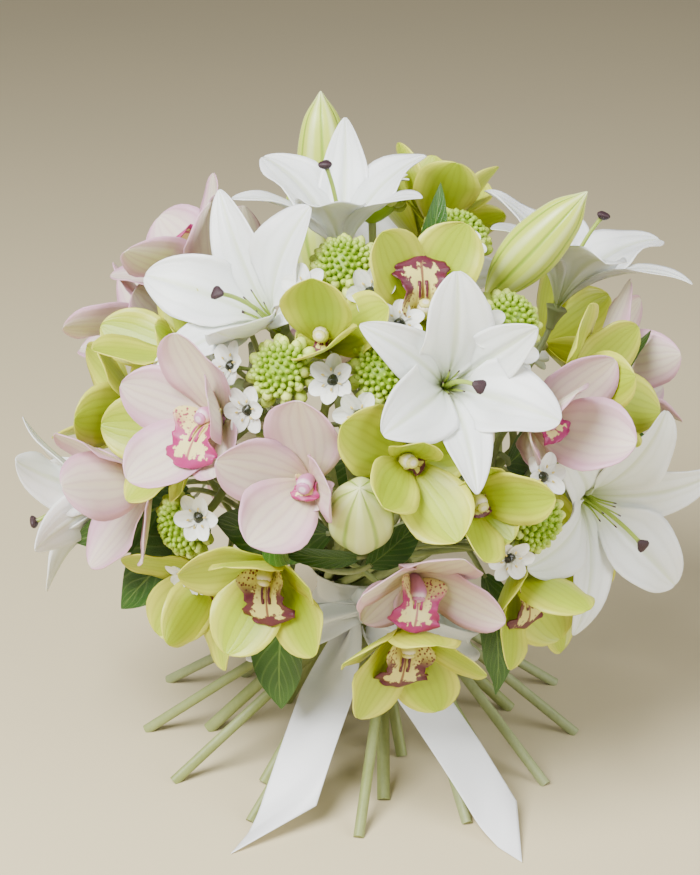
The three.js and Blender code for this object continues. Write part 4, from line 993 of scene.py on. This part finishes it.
FINE_TEPAL = {"slim": 0.5, "wider": 1.12}
TRUMPET_WRAP = 36  # degrees that a tepal reaches round the trumpet, to each side of its middle
SPREAD_FROM, SPREAD_OVER = 0.28, 0.3
HOLLOW = (1.2, 0.36)  # depth in millimetres and share of the half width, along the middle of a tepal
MIDRIB = (2.2, 0.11)
BUD_SWELL = 1.03
FILAMENT_HEIGHTS = [38, 46, 42, 38, 46, 42]


def fine_tepal_points(shape, along, across):
    """In the trumpet a tepal lies round the flower's axis, and beyond the mouth it spreads flat."""
    free, normals = tepal_points(shape, along, across)
    out, rise, _ = tepal_line(shape, along)
    turn = np.radians(TRUMPET_WRAP) * across
    round_axis = np.stack([out * np.cos(turn), out * np.sin(turn), rise], -1)
    spread = np.clip((along - SPREAD_FROM) / SPREAD_OVER, 0, 1)[..., None]
    spread = spread * spread * (3 - 2 * spread)
    groove = HOLLOW[0] * np.exp(-(across / HOLLOW[1]) ** 2) - MIDRIB[0] * np.exp(-(across / MIDRIB[1]) ** 2)
    keel = groove * np.sin(math.pi * np.clip(along, 0, 1))
    return round_axis * (1 - spread) + free * spread + normals * keel[..., None], normals


def grow_lily(growth, corners, row, lifted, closed, draw):
    """Six tepals, every second one narrower and outside the others, on a short neck."""
    stand = place(row)
    for k in range(6):
        shape = dict(TEPALS[k % 2], lift=TEPALS[k % 2]["lift"] + lifted, bend=closed)
        tepal, _ = found_blade(corners, stand.turned(60 * k), shape, tepal_points, TEPAL_STEPS, "bend", TIGHT_TEPAL)
        inner = stand.turned(60 * k).raised(0.8 * (k % 2))
        blade_sheet(growth, inner, finer(tepal, **FINE_TEPAL), 0, draw, rows=24, columns=17,
                    wave=0.13 if k % 2 else 0.07, first=0.01, points=fine_tepal_points)
    neck = [[-LILY_NECK, 2.6], [-7, 3.2], [-1, 5.2], [3.5, 7.4]]
    turned_form(growth, stand, neck, 1, sides=18, ribs=0.05, count=6)


def grow_filaments(growth, stand):
    """Six slender filaments in the trumpet, from which the anthers were taken off."""
    for k, height in enumerate(FILAMENT_HEIGHTS):
        spoke = turn_about_z(60 * k + 30)[:, 0]
        path = smooth_path([spoke * 2.6 + UP * 6, spoke * 4 + UP * 0.6 * height, spoke * 8 + UP * height], 5)
        tube(growth, stand.put(path), np.linspace(0.9, 0.5, len(path)), 0, sides=6)


def grow_pistil(growth, corners, row, draw):
    """The bent style with its three-lobed stigma, and the filaments round it."""
    stand = place(row)
    length, bend = PISTIL["length"], PISTIL["bend"]
    rises = np.arange(PISTIL["lowest"], PISTIL["highest"], PISTIL["step"])
    rise, _ = corners.nearest(rises, lambda r: stand.put([0, -bend, length + PISTIL["past_end"] + r]))
    path = smooth_path([[0, 0, rise], [0, 0, rise + 0.4 * length], [0, -bend * 0.4, rise + 0.74 * length],
                        [0, -bend, rise + length]], 6)
    radii = np.interp(np.linspace(0, 1, len(path)), [0, 0.3, 0.9, 1], [2.4, 1.5, 1.4, 2.2])
    tube(growth, stand.put(path), radii, 0, draw.uniform(), sides=10, ridges=0.06)
    knob = Stand(stand.put([0, -bend, rise + length]), stand.axes)
    turned_form(growth, knob, [[-3, 1.6], [-1.4, 3.6], [0.6, 4.4], [1.9, 3.2], [2.5, 0.3]], 1, 0.2, sides=15,
                ribs=0.16, count=3)
    grow_filaments(growth, stand)


def grow_bud(growth, row, length, radius, paleness, kind):
    """An unopened lily whose six tepals show as broad ribs with seams between them."""
    stand = place(row)
    profile = [[along * length, max(share * radius * BUD_SWELL, 0.4)] for along, share in BUD_PROFILE]
    turned_form(growth, stand, profile, kind, paleness, sides=48, ribs=-0.035, count=6, steps=6)


def leaf_stand(at, heading, roll):
    """The stand of a leaf, whose own X runs along it, and the direction of its length."""
    base = place(at)
    facing = base.axes[:, 2]
    along = outward(*heading)
    across = unit(np.cross(facing, along))
    normal = np.cross(along, across)
    c, s = math.cos(math.radians(roll)), math.sin(math.radians(roll))
    tilt = np.array([[1, 0, 0], [0, c, -s], [0, s, c]])
    return Stand(base.point, np.column_stack([along, across, normal]) @ tilt), along


def grow_leaf(growth, corners, line, full_shape, row, kinds, draw, wave):
    """A leaf and its stalk, where the solid model has it."""
    *where, size = row
    stand, along = leaf_stand(*where)
    shape = dict(full_shape, length=full_shape["length"] * size, width=full_shape["width"] * size)
    blade, off = found_blade(corners, stand, shape, blade_points, LIFT_STEPS, "lift", None)
    if off > FOUND_WITHIN:
        return
    blade_sheet(growth, stand, blade, kinds[0], draw, rows=20, columns=11, wave=wave, first=0.02)
    grow_pedicel(growth, corners, line, stand.point + 4 * along, along, kinds[1])


# ------------------------------------------------------------------ star flowers

STAR_KINDS = {"bud": 0, "petal": 1, "eye": 2, "anther": 3, "stem": 4}
SMALL_BUDS = 64
GOLDEN_TURN = 137.508
LARGE_BUDS = [(64, 11, 3.5), (84, 12, 4.3)]  # slope off the head's axis, how many, half thickness
HEAD_SIZE = np.array([19.2, 19.2, 17.6])  # from the middle of the head to the middles of its buds
HEAD_DROP = 0.5
HEAD_STALK = 2.8
STAR_PETAL = {"length": 16.8, "width": 11.4, "lift": 14, "curl": 4, "cup": 0.3, "slim": 0.62, "blunt": 0.5}
BUD_FORM = [[-1.1, 0.3], [-0.7, 0.8], [0, 1], [0.8, 0.8], [1.25, 0.4], [1.4, 0.1]]


def grow_small_bud(growth, stand, slope, turn, size, tone):
    spoke = turn_about_z(turn) @ np.array([math.sin(slope), 0, math.cos(slope)])
    centre = spoke * HEAD_SIZE - UP * HEAD_DROP
    bud = stand_facing(stand.put(centre), unit(stand.aim(spoke) + 0.25 * stand.aim([0, 0, 1])), 0)
    profile = [[height * size, girth * size] for height, girth in BUD_FORM]
    turned_form(growth, bud, profile, STAR_KINDS["bud"], tone, sides=10, ribs=0.04, count=3, steps=3)


def grow_bud_dome(growth, stand, draw):
    """Fine buds in a spiral over the crown and two rows of larger, paler ones round it."""
    core = [[-13, 2], [-9, 9], [-3, 15.5], [4, 16.5], [10.5, 12], [15, 4], [16, 0.4]]
    turned_form(growth, stand, core, STAR_KINDS["bud"], 0.0, sides=16)
    for i in range(SMALL_BUDS):
        share = (i + 0.5) / SMALL_BUDS
        slope = math.radians(60 * share ** 0.5)
        grow_small_bud(growth, stand, slope, GOLDEN_TURN * i, (1.5 + 0.7 * share) * draw.uniform(0.9, 1.1),
                       0.1 + 0.35 * share * draw.uniform(0.7, 1))
    for row, (slope, count, size) in enumerate(LARGE_BUDS):
        for k in range(count):
            turn = 360 / count * (k + 0.5 * row) + draw.uniform(-5, 5)
            grow_small_bud(growth, stand, math.radians(slope + draw.uniform(-4, 4)), turn,
                           size * draw.uniform(0.88, 1.06), draw.uniform(0.6, 1))


def grow_star(growth, stand, root, draw):
    """An open flower: six petals, six stamens, the dark eye and a stalk to the head."""
    for k in range(6):
        turn = 60 * k + draw.uniform(-4, 4)
        varied = dict(STAR_PETAL, lift=STAR_PETAL["lift"] + 5 * (k % 2) + draw.uniform(-4, 4))
        blade_sheet(growth, stand.turned(turn), varied, STAR_KINDS["petal"], draw, rows=9, columns=5, wave=0.04)
        spoke = turn_about_z(turn + 8)[:, 0]
        filament = smooth_path([spoke * 2.4 + UP * 0.6, spoke * 4.6 + UP * 2.6, spoke * 6.2 + UP * 4.6], 3)
        tube(growth, stand.put(filament), 0.42, STAR_KINDS["petal"], 0.9, sides=5)
        tip = stand_facing(stand.put(filament[-1]), stand.aim(spoke), 0)
        turned_form(growth, tip, [[-1.2, 0.3], [0, 0.75], [1.2, 0.3]], STAR_KINDS["anther"], 0.5, sides=6, steps=2)
    turned_form(growth, stand, [[-0.6, 1.6], [0.8, 3.5], [2.6, 3.4], [4.0, 1.6], [4.9, 0.4]], STAR_KINDS["eye"], 0.2,
                sides=12, ribs=0.08, count=3)
    under = stand.put([0, 0, -0.4])
    path = smooth_path([root, root * 0.45 + under * 0.55 - 1.5 * stand.axes[:, 2], under], 5)
    tube(growth, path, np.linspace(1.1, 1.5, len(path)), STAR_KINDS["stem"], 0.4, sides=7)


def grow_star_head(growth, corners, line, row, opened, draw):
    """A dome of buds with the open flowers that the solid model has round it."""
    stand = place(row)
    grow_bud_dome(growth, stand, draw)
    for turn in opened:
        def flower_stand(change, turn=turn):
            spoke = outward(turn + change, 0)
            looks = unit(UP + STAR["lean"] * spoke)
            local = stand_facing(STAR["away"] * spoke + STAR["rise"] * UP, looks, turn)
            return Stand(stand.put(local.point), stand.axes @ local.axes)

        change, off = corners.nearest(STAR_TURNS, lambda c: flower_stand(c).put([0, 0, STAR["ovary"]]))
        if off < FOUND_WITHIN:
            root = stand.put(outward(turn + change, 0) * STAR["root"] - UP)
            grow_star(growth, flower_stand(change), root, draw)
    facing = stand.axes[:, 2]
    grow_pedicel(growth, corners, line, stand.put([0, 0, -6]), facing, STAR_KINDS["stem"], 0.3, HEAD_STALK)


# ------------------------------------------------------------------ ribbon

def stem_reach(height):
    """How far the outer stems reach from the bouquet's axis at a height."""
    outer = STEM_RINGS["outer"]
    away = math.tan(math.radians(outer["splay"])) * (height - TIE_HEIGHT)
    reach = math.hypot(outer["radius"], away)
    slant = math.tan(math.radians(outer["splay"])) * away / reach
    return reach + outer["thickness"] / 2 * math.hypot(1, slant)


def band_reach(height):
    """How far in the band lies at a height off the tie: over the twine, and over the splayed stems."""
    over_twine = stem_reach(TIE_HEIGHT + TWINE["height"] / 2) + TWINE["thickness"] + 2 * GAP
    return max(over_twine, stem_reach(TIE_HEIGHT + height) + GAP)


RIBBON_COLUMNS = 25


def gathered_depth(share, waves, width):
    """How deep the folds are where a ribbon is pinched to a share of its width, at its full cloth."""
    return width / (4 * waves) * np.sqrt(np.clip(1 - share * share, 0, 1))


def ribbon_strip(centres, sides, normals, shares, waves):
    """Ribbon through centres, with its side and normal directions, folded where it is pinched."""
    width, shares = RIBBON["width"], np.clip(shares, 0, 1)
    across = np.linspace(-1, 1, RIBBON_COLUMNS)
    depth = gathered_depth(shares, waves, width)
    fold = np.sin(across * waves * math.pi)
    points = (centres[:, None, :] + sides[:, None, :] * (across * 0.5 * width)[None, :, None]
              * shares[:, None, None] + normals[:, None, :] * (depth[:, None] * fold[None, :])[..., None])
    along = np.repeat(np.linspace(0, 1, len(centres))[:, None], RIBBON_COLUMNS, 1)
    return points, sheet_marks(along, np.repeat(across[None, :], len(centres), 0), 0.5)


def path_length(points):
    return float(np.linalg.norm(np.diff(points, axis=0), axis=1).sum())


def grow_tail(growth, tail):
    """A tail from the knot to the table, cut on a slant. Gives the length of its middle line."""
    root, tip = np.array(tail["root"], float), np.array(tail["tip"], float)
    heading = unit(tip - root)
    full = np.linalg.norm(tip - root)
    rows = smooth_path([[share * full, height, wide] for share, height, wide in TAIL_DROP], 6)
    rows[:, 1] = np.maximum(rows[:, 1], TAIL_LOWEST)
    centres = np.array([[*(root + heading * out), height] for out, height, _ in rows])
    side = np.array([-heading[1], heading[0], 0.0])
    sides = np.repeat(side[None, :], len(rows), 0)
    slope = np.gradient(centres, axis=0)
    slope /= np.linalg.norm(slope, axis=1, keepdims=True)
    normals = np.cross(slope, sides)
    points, marks = ribbon_strip(centres, sides, normals, rows[:, 2], waves=1.0)
    lying = np.clip((rows[:, 1] - 2) / 30, 0, 1)[:, None, None]
    across = marks[..., 1][..., None]
    points += normals[:, None, :] * lying * (1.6 * np.cos(across * 2.2) * np.sin(rows[:, 0] / 26)[:, None, None])
    cut = tail["slant"] * np.clip((rows[:, 0] / full - TAIL_CUT_FROM) / (1 - TAIL_CUT_FROM), 0, 1)
    short_side, long_side = (np.interp(rows[:, 0] + shift, rows[:, 0], rows[:, 1]) for shift in (-cut, cut))
    tipped = (short_side + long_side)[:, None] / 2 + across[..., 0] * (short_side - long_side)[:, None] / 2
    points += -across * cut[:, None, None] * np.array([heading[0], heading[1], 0.0])
    points[..., 2] = np.maximum(points[..., 2] + tipped - rows[:, 1:2], TAIL_LOWEST)
    growth.grid(points, marks, 0)
    return path_length(centres)


def grow_loop(growth, loop):
    """A loop of the bow, gathered at the knot. Gives the length of its middle line."""
    start, end = np.array(loop["root"], float), np.array(loop["end"], float)
    rows = smooth_path([[share, side, wide] for share, side, wide in BOW_LOOP], 6)
    centres = start + (end - start) * rows[:, :1]
    centres[:, 1] += rows[:, 1] * loop["depth"]
    slope = np.gradient(centres, axis=0)
    slope /= np.linalg.norm(slope, axis=1, keepdims=True)
    sides = np.repeat(UP[None, :], len(rows), 0)
    normals = np.cross(slope, sides)
    normals /= np.linalg.norm(normals, axis=1, keepdims=True)
    points, marks = ribbon_strip(centres, sides, normals, rows[:, 2] * loop["width"] / RIBBON["width"], waves=1.5)
    growth.grid(points, marks, 0)
    return path_length(centres)


def grow_knot(growth):
    """A soft barrel of ribbon with creases that run round it."""
    front = (band_reach(0) + RIBBON["thickness"]) / math.cos(math.pi / BAND_SIDES)
    middle = np.array([0, -front - GAP - KNOT["depth"], TIE_HEIGHT])
    rings = smooth_path([[h, r, 0] for h, r in KNOT["rings"]], 5)
    turns = np.arange(28) * 2 * math.pi / 28
    crease = 1 + 0.05 * np.sin(4 * turns)[None, :] + 0.04 * np.sin(rings[:, :1] * 1.1 + 1.5 * np.sin(turns)[None, :])
    radius = rings[:, 1:2] * crease * 0.97
    flat = KNOT["depth"] / KNOT["rings"][2][1]
    points = np.stack([radius * np.cos(turns), flat * radius * np.sin(turns),
                       np.repeat(rings[:, :1], len(turns), 1)], -1) + middle
    along = np.repeat(np.linspace(0, 1, len(rings))[:, None], len(turns), 1)
    growth.grid(points, sheet_marks(along, np.repeat(np.cos(turns)[None, :], len(rings), 0) * 0.8, 0.5), 0, closed=True)


def grow_band(growth):
    """The band round the stems, a little uneven. Gives its length round them."""
    heights = np.linspace(-BAND_HEIGHT / 2, BAND_HEIGHT / 2, 19)
    turns = np.arange(96) * 2 * math.pi / 96
    reach = np.array([band_reach(h) for h in heights])[:, None] + 0.6
    folds = 0.28 * np.sin(heights * 1.15)[:, None] * (1 + 0.5 * np.sin(3 * turns)[None, :])
    radius = reach + folds + 0.15 * np.sin(11 * turns)[None, :]
    points = np.stack([radius * np.cos(turns), radius * np.sin(turns),
                       np.repeat(heights[:, None] + TIE_HEIGHT, len(turns), 1)], -1)
    along = np.repeat((turns / (2 * math.pi))[None, :], len(heights), 0)
    across = np.repeat(np.linspace(-1, 1, len(heights))[:, None], len(turns), 1)
    growth.grid(points, sheet_marks(along, across, 0.5), 0, closed=True)
    return float(2 * math.pi * reach.mean())


def grow_twine(growth):
    """Four rounds of twine over the stems."""
    turns, rounds = np.linspace(0, 1, 320), 4
    radius = stem_reach(TIE_HEIGHT + TWINE["height"] / 2) + GAP + TWINE["thickness"] / 2
    height = TIE_HEIGHT + (turns - 0.5) * (TWINE["height"] - TWINE["thickness"])
    angle = turns * rounds * 2 * math.pi
    path = np.stack([radius * np.cos(angle), radius * np.sin(angle), height], -1)
    tube(growth, path, TWINE["thickness"] / 2, 0, sides=8)


# ------------------------------------------------------------------ settings, operators and panel

def colour_property(name, description, default):
    """A colour that the sidebar shows as a swatch."""
    return bpy.props.FloatVectorProperty(name=name, description=description, default=default, subtype="COLOR",
                                         size=3, min=0.0, max=1.0)


def length_property(name, description, default):
    return bpy.props.FloatProperty(name=name, description=description, default=default, min=0.0, unit="LENGTH")


class BOUQUET_PG_looks(bpy.types.PropertyGroup):
    """Colours of petals, leaves, stems and ribbon, and how thick a petal is."""

    green_petal: colour_property("Green petal", "Colour of the green orchids", shade(164, 188, 8))
    pink_petal: colour_property("Pink petal", "Colour of the pink orchids", shade(226, 219, 194))
    lily_white: colour_property("Lily white", "Colour of the lilies", shade(242, 247, 242))
    lip_edge: colour_property("Lip edge", "Colour of the rim of the green orchids' lips", shade(92, 24, 46))
    leaf_green: colour_property("Leaf", "Colour of the broad leaves", shade(52, 100, 22))
    stem_green: colour_property("Stem", "Colour of the cut stems", shade(146, 156, 104))
    ribbon_white: colour_property("Ribbon", "Colour of the satin ribbon", shade(246, 248, 251))
    floor_colour: colour_property("Floor", "Colour of the floor", shade(216, 202, 162))
    petal_thickness: length_property("Petal thickness", "Thickness of a petal", 0.0006)


class BOUQUET_PG_stage(bpy.types.PropertyGroup):
    """Where the camera and the lights stand."""

    camera_distance: length_property("Camera distance", "From the middle of the bouquet to the camera", 1.4)
    camera_elevation: bpy.props.FloatProperty(
        name="Camera elevation", description="Angle of the camera above the horizon", default=math.radians(22),
        subtype="ANGLE")
    camera_lens: bpy.props.FloatProperty(
        name="Lens", description="Focal length of the camera", default=83.0, unit="CAMERA")
    aim_height: length_property("Aim height", "Height of the point that the camera looks at", 0.223)
    aim_aside: bpy.props.FloatProperty(
        name="Aim aside", description="How far right of the stems the camera looks", default=-0.008, unit="LENGTH")
    key_power: bpy.props.FloatProperty(
        name="Key light", description="Power of the large window light", default=120.0, unit="POWER")
    fill_power: bpy.props.FloatProperty(
        name="Fill light", description="Power of the light on the shaded side", default=26.0, unit="POWER")


shared = {}


def paints():
    if "paints" not in shared:
        shared["paints"] = Paints(bpy.context.scene.bouquet_looks)
    return shared["paints"]


def painted(*names):
    """The materials of a piece, in the order of its kinds of face."""
    return [paints().get(name) for name in names]


def draw_for(name):
    """A seeded random source of a piece's own, so that each piece comes out the same every time."""
    return np.random.default_rng([SEED, *name.encode()])


def petal_thickness():
    return bpy.context.scene.bouquet_looks.petal_thickness


class BOUQUET_OT_lilies(bpy.types.Operator):
    """Grow the white lilies and their pistils"""

    bl_idname = "bouquet.lilies"
    bl_label = "Lilies"

    def execute(self, context):
        blooms = [bloom for stem in LILY_STEMS for bloom in stem[2]]
        for i, (row, lifted, closed) in enumerate(blooms, 1):
            name = f"lily_bloom_{i}"
            draw = draw_for(name)
            growth = Growth()
            grow_lily(growth, Corners(name), row, lifted, closed, draw)
            make_piece(f"{name}_tepals", growth, painted("lily_petal", "stem"), [name],
                       petal_thickness())
            name, growth = f"lily_pistil_{i}", Growth()
            grow_pistil(growth, Corners(name), row, draw)
            make_piece(f"{name}_style", growth, painted("style_skin", "stigma_skin"), [name])
        return {"FINISHED"}


class BOUQUET_OT_lily_stems(bpy.types.Operator):
    """Grow the lily stems with their buds and slender leaves"""

    bl_idname = "bouquet.lily_stems"
    bl_label = "Lily stems"

    def execute(self, context):
        for i, (_, _, blooms, buds, leaves) in enumerate(LILY_STEMS, 1):
            name = f"lily_stem_{i}"
            line, corners, draw, growth = stem_lines[name], Corners(name), draw_for(name), Growth()
            grow_stalk(growth, line, 0)
            for row, _, _ in blooms:
                stand = place(row)
                grow_pedicel(growth, corners, line, stand.put([0, 0, -LILY_NECK - SEAT]), stand.axes[:, 2], 0)
            for row, length, radius, paleness in buds:
                stand = place(row)
                grow_bud(growth, row, length, radius, paleness, 1)
                grow_pedicel(growth, corners, line, stand.put([0, 0, 3]), stand.axes[:, 2], 0)
            for row in leaves:
                grow_leaf(growth, corners, line, LILY_LEAF, row, (2, 0), draw, 0.02)
            make_piece(f"{name}_shoots", growth, painted("stem", "bud_skin", "leaf"), [name])
        return {"FINISHED"}


class BOUQUET_OT_green_orchids(bpy.types.Operator):
    """Grow the sprays of green boat orchids"""

    bl_idname = "bouquet.green_orchids"
    bl_label = "Green orchids"

    def execute(self, context):
        for i, (_, _, rows) in enumerate(GREEN_SPRAYS, 1):
            name = f"green_cymbidium_spray_{i}"
            line, corners, draw = stem_lines[name], Corners(name), draw_for(name)
            blooms, stalk = Growth(), Growth()
            grow_stalk(stalk, line, 0)
            for row in rows:
                stand = grow_orchid(blooms, corners, row, GREEN_SCALE, draw)
                grow_pedicel(stalk, corners, line, stand.put([0, 0, -OVARY * 0.4]), stand.axes[:, 2], 0)
            make_piece(f"{name}_blooms", blooms, orchid_materials("green"), [name],
                       petal_thickness())
            make_piece(f"{name}_stalk", stalk, painted("spray_stem"), [name])
        return {"FINISHED"}


class BOUQUET_OT_pink_orchids(bpy.types.Operator):
    """Grow the pink boat orchids and their stems"""

    bl_idname = "bouquet.pink_orchids"
    bl_label = "Pink orchids"

    def execute(self, context):
        for i, (_, _, rows) in enumerate(PINK_SPRAYS, 1):
            name = f"pink_cymbidium_stem_{i}"
            line, corners, stalk = stem_lines[name], Corners(name), Growth()
            grow_stalk(stalk, line, 0)
            for k, row in enumerate(rows):
                bloom_name = f"pink_cymbidium_bloom_{3 * (i - 1) + k + 1}"
                growth = Growth()
                stand = grow_orchid(growth, Corners(bloom_name), row, PINK_SCALE, draw_for(bloom_name))
                make_piece(f"{bloom_name}_petals", growth, orchid_materials("pink"),
                           [bloom_name], petal_thickness())
                end = stand.point - stand.axes[:, 2] * (OVARY * PINK_SCALE + SEAT)
                grow_pedicel(stalk, corners, line, end, stand.axes[:, 2], 0)
            make_piece(f"{name}_stalk", stalk, painted("spray_stem"), [name])
        return {"FINISHED"}


class BOUQUET_OT_star_flowers(bpy.types.Operator):
    """Grow the heads of star flowers"""

    bl_idname = "bouquet.star_flowers"
    bl_label = "Star flowers"

    def execute(self, context):
        materials = painted("star_bud", "star_petal", "star_eye", "anther", "spray_stem")
        for i, (_, _, row, opened) in enumerate(STAR_HEADS, 1):
            name = f"star_flower_head_{i}"
            growth = Growth()
            grow_stalk(growth, stem_lines[name], STAR_KINDS["stem"])
            grow_star_head(growth, Corners(name), stem_lines[name], row, opened, draw_for(name))
            make_piece(f"{name}_flowers", growth, materials, [name])
        return {"FINISHED"}


class BOUQUET_OT_leaves(bpy.types.Operator):
    """Grow the leafy stems"""

    bl_idname = "bouquet.leaves"
    bl_label = "Leaves"

    def execute(self, context):
        for i, (_, _, rows) in enumerate(LEAFY_STEMS, 1):
            name = f"leafy_stem_{i}"
            line, corners, draw, growth = stem_lines[name], Corners(name), draw_for(name), Growth()
            grow_stalk(growth, line, 1)
            for row in rows:
                grow_leaf(growth, corners, line, BROAD_LEAF, row, (0, 1), draw, 0.09)
            make_piece(f"{name}_leaves", growth, painted("leaf", "stem"), [name])
        return {"FINISHED"}


class BOUQUET_OT_ribbon(bpy.types.Operator):
    """Tie the satin band, the bow and its tails"""

    bl_idname = "bouquet.ribbon"
    bl_label = "Ribbon"

    def execute(self, context):
        satin = painted("satin")
        wide, thick = RIBBON["width"] * MM, RIBBON["thickness"] * 0.5 * MM
        for side, tail in TAILS.items():
            growth = Growth()
            length = grow_tail(growth, tail)
            piece = make_piece(f"ribbon_tail_{side}_satin", growth, satin, [f"ribbon_tail_{side}"], thick)
        band = Growth()
        around = grow_band(band)
        band_piece = make_piece("ribbon_band_satin", band, satin, ["ribbon_band"], thick)
        knot = Growth()
        grow_knot(knot)
        knot_piece = make_piece("ribbon_knot_satin", knot, satin, ["ribbon_bow"], thick)
        for side, loop in BOW_LOOPS.items():
            growth = Growth()
            length = grow_loop(growth, loop)
            piece = make_piece(f"ribbon_loop_{side}_satin", growth, satin, ["ribbon_bow"], thick)
        return {"FINISHED"}


class BOUQUET_OT_twine(bpy.types.Operator):
    """Wind the twine round the stems"""

    bl_idname = "bouquet.twine"
    bl_label = "Twine"

    def execute(self, context):
        growth = Growth()
        grow_twine(growth)
        make_piece("twine_tie_turns", growth, painted("twine"), ["twine_tie"])
        return {"FINISHED"}


FLOOR_REACH = 14.0
LIGHTS = {"key": ((-0.9, -1.1, 1.5), 1.3), "fill": ((1.5, -0.9, 0.7), 1.2)}  # place off the aim, size
STUDIO_COLOUR = (1.0, 0.98, 0.95, 1)
STUDIO_LIGHT = 0.28


class BOUQUET_OT_stage(bpy.types.Operator):
    """Lay the floor, set the lights and place the camera"""

    bl_idname = "bouquet.stage"
    bl_label = "Stage"

    def execute(self, context):
        stage = context.scene.bouquet_stage
        origin = Vector(PLAN_ORIGIN)
        mesh = bpy.data.meshes.new("floor")
        reach = FLOOR_REACH
        mesh.from_pydata([(-reach, -reach, 0), (reach, -reach, 0), (reach, reach, 0), (-reach, reach, 0)], [],
                         [(0, 1, 2, 3)])
        mesh.materials.append(paints().get("floor"))
        floor = bpy.data.objects.new("floor", mesh)
        context.scene.collection.objects.link(floor)
        aim = origin + Vector((stage.aim_aside, 0, stage.aim_height))
        rise = stage.camera_elevation
        back = Vector((0, -math.cos(rise), math.sin(rise)))
        camera_data = bpy.data.cameras.new("camera")
        camera_data.lens = stage.camera_lens
        camera = bpy.data.objects.new("camera", camera_data)
        context.scene.collection.objects.link(camera)
        camera.location = aim + back * stage.camera_distance
        camera.rotation_mode = "QUATERNION"
        camera.rotation_quaternion = back.to_track_quat("Z", "Y")
        context.scene.camera = camera
        self.add_light(context, "key", aim, stage.key_power)
        self.add_light(context, "fill", aim, stage.fill_power)
        world = bpy.data.worlds.new("studio")
        world.use_nodes = True
        background = world.node_tree.nodes["Background"]
        background.inputs["Color"].default_value = STUDIO_COLOUR
        background.inputs["Strength"].default_value = STUDIO_LIGHT
        context.scene.world = world
        return {"FINISHED"}

    def add_light(self, context, name, aim, power):
        offset, size = Vector(LIGHTS[name][0]), LIGHTS[name][1]
        data = bpy.data.lights.new(name, "AREA")
        data.shape = "DISK"
        data.size = size
        data.energy = power
        light = bpy.data.objects.new(name, data)
        context.scene.collection.objects.link(light)
        light.location = aim + offset
        light.rotation_mode = "QUATERNION"
        light.rotation_quaternion = offset.to_track_quat("Z", "Y")


OPERATORS = [BOUQUET_OT_stage, BOUQUET_OT_twine, BOUQUET_OT_ribbon, BOUQUET_OT_leaves, BOUQUET_OT_lily_stems,
             BOUQUET_OT_green_orchids, BOUQUET_OT_pink_orchids, BOUQUET_OT_star_flowers, BOUQUET_OT_lilies]


class BOUQUET_PT_panel(bpy.types.Panel):
    """Lists the pieces of the bouquet and their settings"""

    bl_idname = "BOUQUET_PT_panel"
    bl_label = "Bouquet"
    bl_space_type = "VIEW_3D"
    bl_region_type = "UI"
    bl_category = "Bouquet"

    def draw(self, context):
        for settings in (context.scene.bouquet_looks, context.scene.bouquet_stage):
            for name in settings.bl_rna.properties.keys():
                if name not in ("rna_type", "name"):
                    self.layout.prop(settings, name)
        for operator in OPERATORS:
            self.layout.operator(operator.bl_idname)


CLASSES = [BOUQUET_PG_looks, BOUQUET_PG_stage, *OPERATORS, BOUQUET_PT_panel]


def register():
    for made_class in CLASSES:
        bpy.utils.register_class(made_class)
    bpy.types.Scene.bouquet_looks = bpy.props.PointerProperty(type=BOUQUET_PG_looks)
    bpy.types.Scene.bouquet_stage = bpy.props.PointerProperty(type=BOUQUET_PG_stage)


def unregister():
    del bpy.types.Scene.bouquet_stage
    del bpy.types.Scene.bouquet_looks
    for made_class in reversed(CLASSES):
        bpy.utils.unregister_class(made_class)


def main():
    register()
    bpy.ops.bouquet.stage()
    bpy.ops.bouquet.twine()
    bpy.ops.bouquet.ribbon()
    bpy.ops.bouquet.leaves()
    bpy.ops.bouquet.lily_stems()
    bpy.ops.bouquet.green_orchids()
    bpy.ops.bouquet.pink_orchids()
    bpy.ops.bouquet.star_flowers()
    bpy.ops.bouquet.lilies()


if __name__ == "__main__":
    main()
